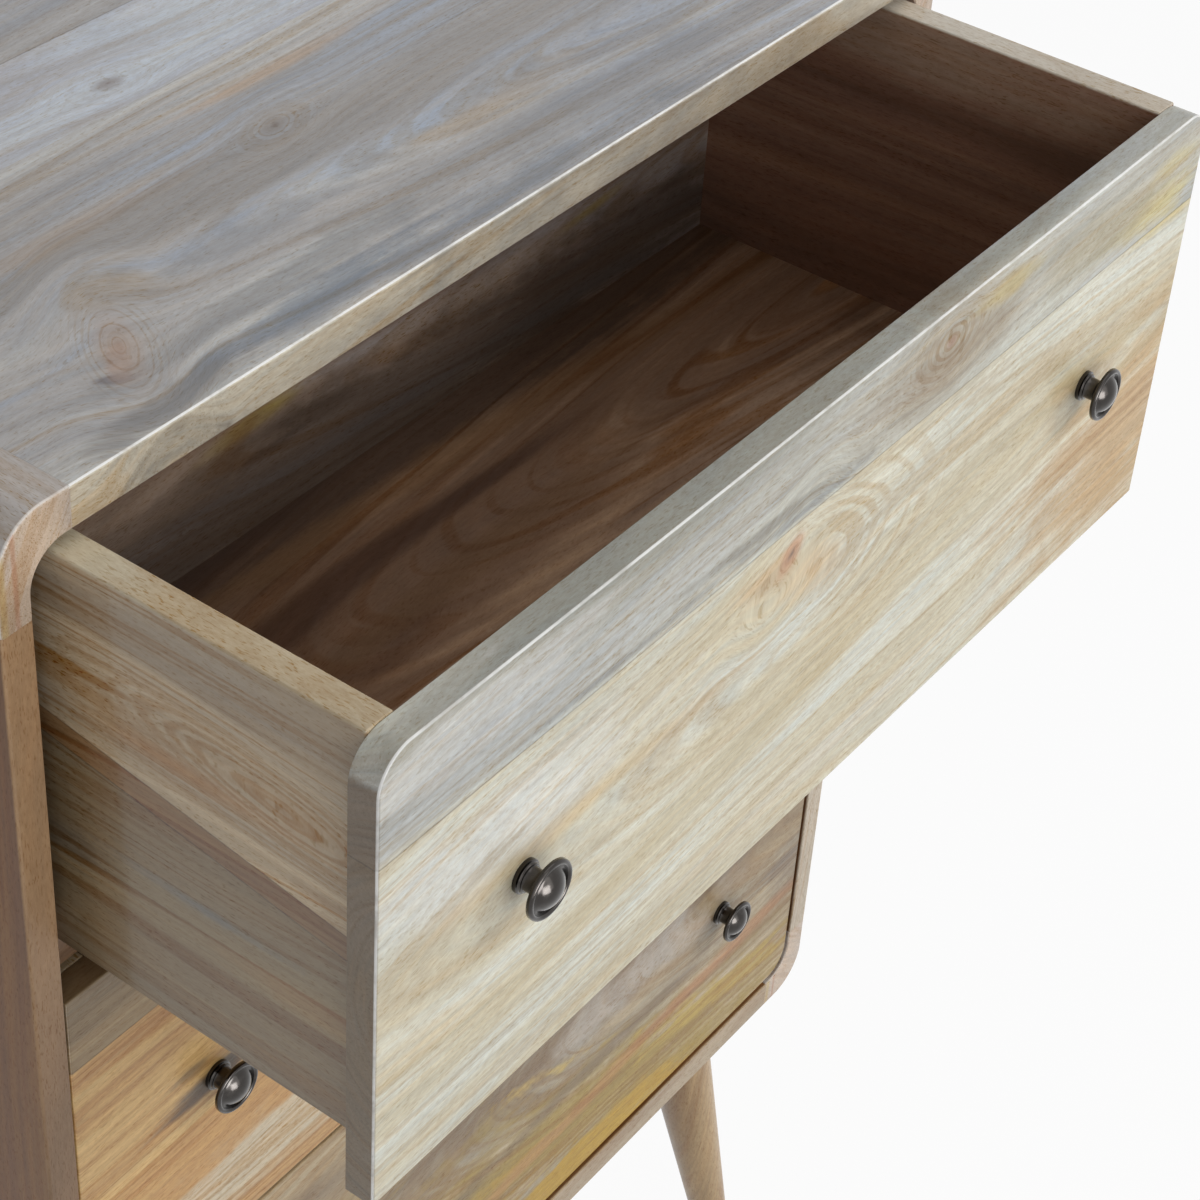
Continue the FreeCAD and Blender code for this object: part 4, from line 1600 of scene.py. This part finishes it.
@dataclass
class Drawer:
    """One drawer: its front, sides, back and bottom."""

    workshop: Workshop
    level: str
    number: int
    upper_radius: float
    lower_radius: float
    face: WoodFinish
    edge_round: float = 1.5 * MM
    side_round: float = 1.2 * MM
    edge_ease: float = 0.4 * MM
    lap: float = 1.0 * MM
    board_steps: int = 3
    front_steps: int = 5
    seed_step: float = 2.9

    def board(self, word: str, low: Vector, high: Vector, ease: float, slot: str, finish: WoodFinish) -> None:
        """Builds one plain board of the drawer.

        Args:
            word: what the board is, as its solid's name has it.
            low: its lowest corner.
            high: its highest corner.
            ease: rounding of its arrises.
            slot: material slot of its finish.
            finish: the pattern board of the top drawer, from which this one's finish is shifted.
        """
        mesh = bmesh.new()
        block(mesh, low, high, ease, self.board_steps)
        name = f"{word}_{self.level}"
        drop = 0.0 if finish.lay is Lay.PLANK else -self.number * FRONT_RISE
        own = finish.moved(name, 0.0, drop, self.number * self.seed_step + low.x)
        piece = soften(as_piece(mesh, name + "_board"))
        self.workshop.fit(piece, "drawer_" + self.level, ["drawer_" + name], slot, own)

    def build(self) -> None:
        """Builds and dresses the drawer's boards."""
        node = "drawer_front_" + self.level
        self.workshop.fit(self.front(), "drawer_" + self.level, [node], "front_wood", self.face)
        front_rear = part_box(node)[1].y
        left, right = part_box("drawer_side_left_" + self.level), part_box("drawer_side_right_" + self.level)
        back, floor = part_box("drawer_back_" + self.level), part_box("drawer_bottom_" + self.level)
        reach = (left[1].x - self.lap, right[0].x + self.lap)
        boards = (("side_left", left, DRAWER_SIDE), ("side_right", right, DRAWER_SIDE_PLAIN))
        for word, (low, high), finish in boards:
            low.y = front_rear
            self.board(word, low, high, self.side_round, "drawer_wood", finish)
        for low, high in (back, floor):
            low.x, high.x = reach
        floor[0].y, floor[1].y = front_rear - self.lap, back[0].y + self.lap
        self.board("back", *back, self.edge_ease, "drawer_wood", DRAWER_BACK)
        self.board("bottom", *floor, self.edge_ease, "drawer_bottom_wood", DRAWER_FLOOR)

    def front(self) -> bpy.types.Object:
        """Front board, its face arrises rounded.

        Returns:
            The piece.
        """
        low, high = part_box("drawer_front_" + self.level)
        stages = [(inset, low.y + depth) for inset, depth in quarter(self.edge_round, self.front_steps)]
        stages += [(0.0, high.y - self.edge_ease), (self.edge_ease, high.y)]
        radii = (self.upper_radius, self.lower_radius)
        rings = [
            [(x, y, z) for x, z in corner_outline(high.x, low.z, high.z, *radii, inset)]
            for inset, y in stages
        ]
        mesh = bmesh.new()
        loft(mesh, rings)
        return soften(as_piece(mesh, "front_" + self.level))


@dataclass
class Knobs:
    """Turned metal knobs, two to a drawer."""

    workshop: Workshop
    row: Row
    flange_radius: float = 8.5 * MM
    flange_height: float = 2.2 * MM
    collar_radius: float = 7.3 * MM
    collar_height: float = 3.6 * MM
    stem_radius: float = 6.0 * MM
    neck_height: float = 8.8 * MM
    flare: Flat = (9.6 * MM, 10.8 * MM)
    head_radius: float = 15.0 * MM
    underside_height: float = 12.8 * MM
    rim_height: float = 14.0 * MM
    rim_radius: float = 1.5 * MM
    dome_radius: float = 10.4 * MM
    dome_base: float = 14.4 * MM
    height: float = 19.2 * MM
    ease: float = 0.35 * MM
    fillet: float = 0.1 * MM
    neck: float = 1.5 * MM
    groove: float = 0.35 * MM
    flare_steps: int = 8
    rim_steps: int = 10
    dome_steps: int = 12
    sides: int = 64

    def profile(self) -> list[Flat]:
        """Turning profile of a knob.

        Returns:
            Points as (radius, distance from the drawer front), from axis to axis.
        """
        ease = self.ease
        points = [
            (0.0, 0.0), (self.flange_radius, 0.0),
            (self.flange_radius, self.flange_height - ease), (self.flange_radius - ease, self.flange_height),
            (self.collar_radius, self.flange_height + self.fillet),
            (self.collar_radius, self.collar_height - ease), (self.collar_radius - ease, self.collar_height),
            (self.stem_radius, self.collar_height + self.fillet),
            (self.stem_radius, self.neck_height - self.neck),
        ]
        start = (self.stem_radius, self.neck_height)
        end = (self.head_radius, self.underside_height)
        points += self._bow(start, self.flare, end, self.flare_steps)
        rim_centre = self.head_radius - self.rim_radius
        for step in range(self.rim_steps + 1):
            angle = math.pi * step / self.rim_steps
            points.append((
                rim_centre + self.rim_radius * math.cos(angle),
                self.rim_height + self.rim_radius * math.sin(angle),
            ))
        groove_radius = (rim_centre - self.rim_radius + self.dome_radius) / 2
        points.append((groove_radius, self.dome_base - self.groove))
        rise = self.height - self.dome_base
        sphere = (self.dome_radius ** 2 + rise ** 2) / (2 * rise)
        widest = math.asin(self.dome_radius / sphere)
        for step in range(self.dome_steps):
            angle = widest * (1 - step / self.dome_steps)
            points.append((sphere * math.sin(angle), self.height - sphere * (1 - math.cos(angle))))
        return points + [(0.0, self.height)]

    @staticmethod
    def _bow(start: Flat, via: Flat, end: Flat, steps: int) -> list[Flat]:
        """Points of a parabola.

        Args:
            start: its first point.
            via: its point half way.
            end: its last point.
            steps: number of chords.

        Returns:
            The points, ends included.
        """
        points = []
        for step in range(steps + 1):
            t = step / steps
            weights = ((1 - t) * (1 - 2 * t), 4 * t * (1 - t), t * (2 * t - 1))
            points.append(tuple(
                weights[0] * start[i] + weights[1] * via[i] + weights[2] * end[i] for i in (0, 1)
            ))
        return points

    def build(self) -> None:
        """Builds the knobs of every drawer."""
        mesh = bmesh.new()
        turned(mesh, [(radius, -reach) for radius, reach in self.profile()], self.sides)
        template = soften(as_piece(mesh, "knob_pattern"))
        metal = self.workshop.finish(KNOB_METAL)
        for level in LEVELS:
            places = []
            for hand in HANDS:
                low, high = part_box(f"knob_{hand}_{level}")
                places.append(((low.x + high.x) / 2, high.y, (low.z + high.z) / 2))
            step = (places[1][0] - places[0][0], 0.0, 0.0)
            pair = self.row.lay("knobs_" + level, template, [(places[0], step, 2)], 0.0, metal)
            nodes = [f"knob_left_{level}", f"knob_right_{level}"]
            self.workshop.fit(soften(pair), "drawer_" + level, nodes, "knob_metal", KNOB_METAL)
        bpy.data.objects.remove(template)


@dataclass
class Screws:
    """Screws whose heads show: behind the knobs and on the back panel.

    The head's curve is given as shares of its radius and depths below its middle; the turns are
    how far the screws' recesses may stand apart, in radians.
    """

    workshop: Workshop
    row: Row
    head_radius: float = 4.0 * MM
    head_height: float = 2.4 * MM
    head_curve: tuple[Flat, ...] = ((0.55, 0.0), (0.9, 0.5 * MM), (1.0, 1.3 * MM))
    shank_radius: float = 2.0 * MM
    tip_length: float = 3.0 * MM
    knob_turn: float = 2.0
    panel_turn: float = 6.0
    recess_rise: float = 0.5 * MM
    recess_length: float = 4.6 * MM
    recess_width: float = 1.0 * MM
    recess_depth: float = 1.5 * MM
    recess_taper: float = 0.35
    corner_distance: float = 95 * MM
    per_edge: int = 4
    sides: int = 32

    def pattern(self, name: str, profile: Sequence[Flat]) -> bpy.types.Object:
        """Screw about the Y axis with a cross recess in its head, which faces +Y.

        Args:
            name: name of the piece.
            profile: outline as (radius, y), from the middle of the head to the tip.

        Returns:
            The piece.
        """
        mesh = bmesh.new()
        turned(mesh, profile, self.sides)
        piece = as_piece(mesh, name)
        cutter_mesh = bmesh.new()
        face = profile[0][1]
        levels = ((1.0, face + self.recess_rise), (1.0, face), (self.recess_taper, face - self.recess_depth))
        square = ((-1, -1), (1, -1), (1, 1), (-1, 1))
        slot = (self.recess_length / 2, self.recess_width / 2)
        for half_x, half_z in (slot, slot[::-1]):
            loft(cutter_mesh, [
                [(sx * half_x * scale, y, sz * half_z * scale) for sx, sz in square] for scale, y in levels
            ])
        cutter = as_piece(cutter_mesh, "recess")
        cut = piece.modifiers.new("recess", "BOOLEAN")
        cut.object = cutter
        cut.operation = "DIFFERENCE"
        cut.solver = "EXACT"
        cut.use_self = True
        settle(piece)
        bpy.data.objects.remove(cutter)
        return soften(piece)

    def build(self) -> None:
        """Builds the screws of the knobs and of the back panel."""
        steel = self.workshop.finish(SCREW_STEEL)
        for level in LEVELS:
            low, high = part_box("knob_screws_" + level)
            length = high.y - low.y
            curve = [(self.head_radius * share, -depth) for share, depth in self.head_curve]
            template = self.pattern("knob_screw_pattern", [
                (0.0, 0.0), *curve, (self.head_radius, -self.head_height),
                (self.shank_radius, -self.head_height), (self.shank_radius, -length), (0.0, -length),
            ])
            start = (low.x + self.head_radius, high.y, (low.z + high.z) / 2)
            step = (high.x - low.x - 2 * self.head_radius, 0.0, 0.0)
            rows = [(start, step, 2)]
            pair = self.row.lay("knob_screws_made_" + level, template, rows, self.knob_turn, steel)
            bpy.data.objects.remove(template)
            nodes = ["knob_screws_" + level]
            self.workshop.fit(soften(pair), "drawer_" + level, nodes, "screw_steel", SCREW_STEEL)
        low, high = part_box("back_panel_screws")
        length = high.y - low.y
        template = self.pattern("panel_screw_pattern", [
            (0.0, 0.0), (self.head_radius, 0.0), (self.shank_radius, -self.head_height),
            (self.shank_radius, -length + self.tip_length), (0.0, -length),
        ])
        inset, count = self.corner_distance, self.per_edge
        top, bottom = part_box("top_plank_front")[1].z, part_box("bottom_panel")[0].z
        x0, x1 = low.x + self.head_radius, high.x - self.head_radius
        z0, z1 = low.z + self.head_radius, high.z - self.head_radius
        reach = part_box("side_panel_right")[1].x - inset
        rise = (top - bottom - 2 * inset) / (count - 1)
        rows = [((-reach, high.y, z), (2 * reach / (count - 1), 0.0, 0.0), count) for z in (z0, z1)]
        rows += [((x, high.y, bottom + inset), (0.0, 0.0, rise), count) for x in (x0, x1)]
        made = self.row.lay("back_screws", template, rows, self.panel_turn, steel)
        bpy.data.objects.remove(template)
        self.workshop.fit(soften(made), "case", ["back_panel_screws"], "screw_steel", SCREW_STEEL)


@dataclass
class Legs:
    """Four turned, tapered and splayed legs, made by one recipe."""

    workshop: Workshop
    height: float = 275 * MM
    top_radius: float = 28.5 * MM
    tip_radius: float = 13.5 * MM
    tip_ease: float = 2.0 * MM
    reach_x: float = 290 * MM
    reach_y: float = 110 * MM
    middle_y: float = 101.85 * MM
    lean: float = math.tan(math.radians(8.3))
    sides: int = 72
    rings: int = 24

    def build(self) -> None:
        """Builds the legs as one piece."""
        sizes = {
            "Height": self.height, "Top Radius": self.top_radius, "Tip Radius": self.tip_radius,
            "Tip Ease": self.tip_ease, "Reach X": self.reach_x, "Reach Y": self.reach_y,
            "Middle Y": self.middle_y, "Lean": self.lean,
        }
        recipe = Recipe("splayed_legs", dict.fromkeys(sizes, "Float") | {"Finish": "Material"})
        bench = recipe.bench
        size = {name: recipe.given(name) for name in sizes}
        grid = bench.node("GeometryNodeMeshGrid", None, {
            "Size X": size["Reach X"] * 2.0, "Size Y": size["Reach Y"] * 2.0,
            "Vertices X": 2, "Vertices Y": 2,
        })
        bar = bench.node("GeometryNodeMeshCylinder", {"fill_type": "NGON"}, {
            "Vertices": self.sides, "Side Segments": self.rings, "Radius": size["Top Radius"], "Depth": 1.0,
        })
        placed = bench.node("GeometryNodeInstanceOnPoints", None, {"Points": grid, "Instance": bar})
        real = bench.node("GeometryNodeRealizeInstances", None, {0: placed})
        x, y, z = bench.split(bench.read(bench.node("GeometryNodeInputPosition")))
        share = z + 0.5
        first = (share * float(self.rings)).low(1.0)
        rest = (share - 1 / self.rings).top(0.0) * (self.rings / (self.rings - 1))
        level = first * size["Tip Ease"] + rest * (size["Height"] - size["Tip Ease"])
        taper = size["Tip Radius"] + (size["Top Radius"] - size["Tip Radius"]) * (level / size["Height"])
        scale = (taper - size["Tip Ease"] * (1.0 - first)) / size["Top Radius"]
        lean = size["Lean"] * (size["Height"] - level)
        side_x, side_y = x.sign(), y.sign()
        centre_x, centre_y = side_x * size["Reach X"], side_y * size["Reach Y"]
        shaped = bench.node("GeometryNodeSetPosition", None, {
            "Geometry": real,
            "Position": bench.vector(
                centre_x + (x - centre_x) * scale + side_x * lean,
                centre_y + (y - centre_y) * scale + side_y * lean + size["Middle Y"],
                level,
            ),
        })
        recipe.ends_in(shaped)
        legs = recipe.make("legs", sizes | {"Finish": self.workshop.finish(LEG_WOOD)})
        nodes = [f"leg_{end}_{hand}" for end in ("front", "back") for hand in HANDS]
        self.workshop.fit(soften(legs), "case", nodes, "leg_wood", LEG_WOOD)


@dataclass
class InnerFrame:
    """Rails, runners, guides, stops and hidden hardware inside the case."""

    workshop: Workshop
    rail_ease: float = 0.6 * MM

    def build(self) -> None:
        """Dresses the solids that stay as they are, and builds the rails that show."""
        kinds = ("runner", "guide")
        wood = [f"{kind}_{level}_{hand}" for kind in kinds for level in LEVELS for hand in HANDS]
        self.workshop.dress(wood + ["drawer_stops"], INNER_WOOD)
        self.workshop.dress(["rail_bottom"], RAIL_WOOD)
        for level in LEVELS[:2]:
            low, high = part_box("rail_" + level)
            mesh = bmesh.new()
            block(mesh, low, high, self.rail_ease)
            rail = soften(as_piece(mesh, "front_rail_" + level))
            self.workshop.fit(rail, "case", ["rail_" + level], "inner_wood", RAIL_WOOD)
        self.workshop.dress(["case_dowels"], DOWEL_WOOD)
        self.workshop.dress(["stop_screws", "runner_screws", "leg_hanger_bolts"], SCREW_STEEL)
        self.workshop.dress(["leg_inserts"], INSERT_BRASS)


# ---- the studio ------------------------------------------------------------------


@dataclass(frozen=True)
class Softbox:
    """A square lamp turned to the chest, with its side in metres and its power in watts."""

    name: str
    place: Point
    side: float
    power: float
    lights: bool = True
    mirrored: bool = True

    def hang(self, aim: Point) -> None:
        """Hangs the lamp.

        Args:
            aim: the point that it is turned to.
        """
        lamp = bpy.data.lights.new(self.name, "AREA")
        lamp.shape = "SQUARE"
        lamp.size = self.side
        lamp.energy = self.power
        hung = stand(self.name, lamp)
        hung.location = self.place
        hung.rotation_euler = (Vector(self.place) - Vector(aim)).to_track_quat("Z", "Y").to_euler()
        hung.visible_diffuse = self.lights
        hung.visible_glossy = self.mirrored


@dataclass
class Studio:
    """Floor, lamps, surroundings and camera.

    The key lamp stays out of reflections, so that no board glares. The low lamp in front
    is there only for reflections: it gives the knobs and arrises their glint. The camera is
    turned by its own three axes, right, up and back.
    """

    camera_place: Point = (-0.95994, -0.781, 1.82363)
    right: Point = (0.600601, -0.797524, 0.056865)
    up: Point = (0.457449, 0.401085, 0.793644)
    back: Point = (-0.655758, -0.450651, 0.605718)
    lens: float = 86.68
    shift_up: float = -0.08
    sensor: float = 36.0
    sight: Flat = (0.01, 100.0)
    floor_size: float = 30.0
    floor_colour: Colour = dye(214, 214, 214)
    floor_glow: float = 0.94
    sky_light: float = 0.20
    lamps: tuple[Softbox, ...] = (
        Softbox("key_softbox", (2.4, -2.2, 2.3), 1.4, 54.0, mirrored=False),
        Softbox("front_softbox", (-0.5, -3.4, 2.0), 3.0, 32.0),
        Softbox("top_softbox", (0.9, -0.3, 3.4), 2.2, 14.0),
        Softbox("fill_softbox", (-2.2, -2.4, 1.8), 2.6, 22.0),
        Softbox("glint_softbox", (-0.7, -3.3, 1.0), 1.5, 66.0, lights=False),
    )
    aim: Point = (0.0, 0.0, 0.8)

    def floor(self) -> None:
        """Pale floor: the camera sees it near white, with the chest's soft shadow kept."""
        mesh = bmesh.new()
        half = self.floor_size / 2
        corners = ((-half, -half), (half, -half), (half, half), (-half, half))
        mesh.faces.new([mesh.verts.new((x, y, 0.0)) for x, y in corners])
        piece = as_piece(mesh, "studio_floor")
        paint = Paint("studio_white")
        share = paint.seen() * self.floor_glow
        cloth = paint.node("ShaderNodeBsdfDiffuse", None, {"Color": self.floor_colour})
        glow = paint.node("ShaderNodeEmission", None, {"Color": (1.0, 1.0, 1.0), "Strength": 1.0})
        mixed = paint.node("ShaderNodeMixShader", None, {0: share, 1: cloth, 2: glow})
        piece.data.materials.append(paint.ends_in(mixed))

    def surroundings(self) -> None:
        """Even light from all round; the camera sees it white."""
        world = bpy.data.worlds.new("studio")
        world.use_nodes = True
        bpy.context.scene.world = world
        world.node_tree.nodes.clear()
        bench = Bench(world.node_tree)
        strength = bench.seen().fade(0.0, 1.0, self.sky_light, 1.0)
        sky = bench.node("ShaderNodeBackground", None, {"Color": (1.0, 1.0, 1.0), "Strength": strength})
        bench.node("ShaderNodeOutputWorld", None, {"Surface": sky})

    def light(self) -> None:
        """Hangs the softboxes."""
        for lamp in self.lamps:
            lamp.hang(self.aim)

    def camera(self) -> None:
        """Sets the camera up."""
        data = bpy.data.cameras.new("camera")
        data.sensor_fit = "HORIZONTAL"
        data.sensor_width = self.sensor
        data.lens = self.lens
        data.shift_y = self.shift_up
        data.clip_start, data.clip_end = self.sight
        eye = stand("camera", data)
        turn = Matrix((self.right, self.up, self.back)).transposed()
        eye.matrix_world = Matrix.Translation(self.camera_place) @ turn.to_4x4()
        bpy.context.scene.camera = eye

    def build(self) -> None:
        """Sets up the whole studio."""
        self.floor()
        self.surroundings()
        self.light()
        self.camera()
        bpy.context.scene.view_settings.view_transform = "Standard"
        log.info("studio: floor, %d lamps and camera", len(self.lamps))


def main() -> None:
    """Builds the chest and the studio."""
    workshop = Workshop()
    row = Row()
    CaseShell(workshop).build()
    fronts = (
        ("top", FRONT_ROUNDING, 0.0, FRONT_TOP),
        ("middle", 0.0, 0.0, FRONT_MIDDLE),
        ("bottom", 0.0, FRONT_ROUNDING, FRONT_BOTTOM),
    )
    for number, (level, upper, lower, finish) in enumerate(fronts):
        Drawer(workshop, level, number, upper, lower, finish).build()
    Knobs(workshop, row).build()
    Screws(workshop, row).build()
    Legs(workshop).build()
    InnerFrame(workshop).build()
    Studio().build()
    log.info("%d pieces dressed", len(workshop.pieces))


if __name__ == "__main__":
    main()
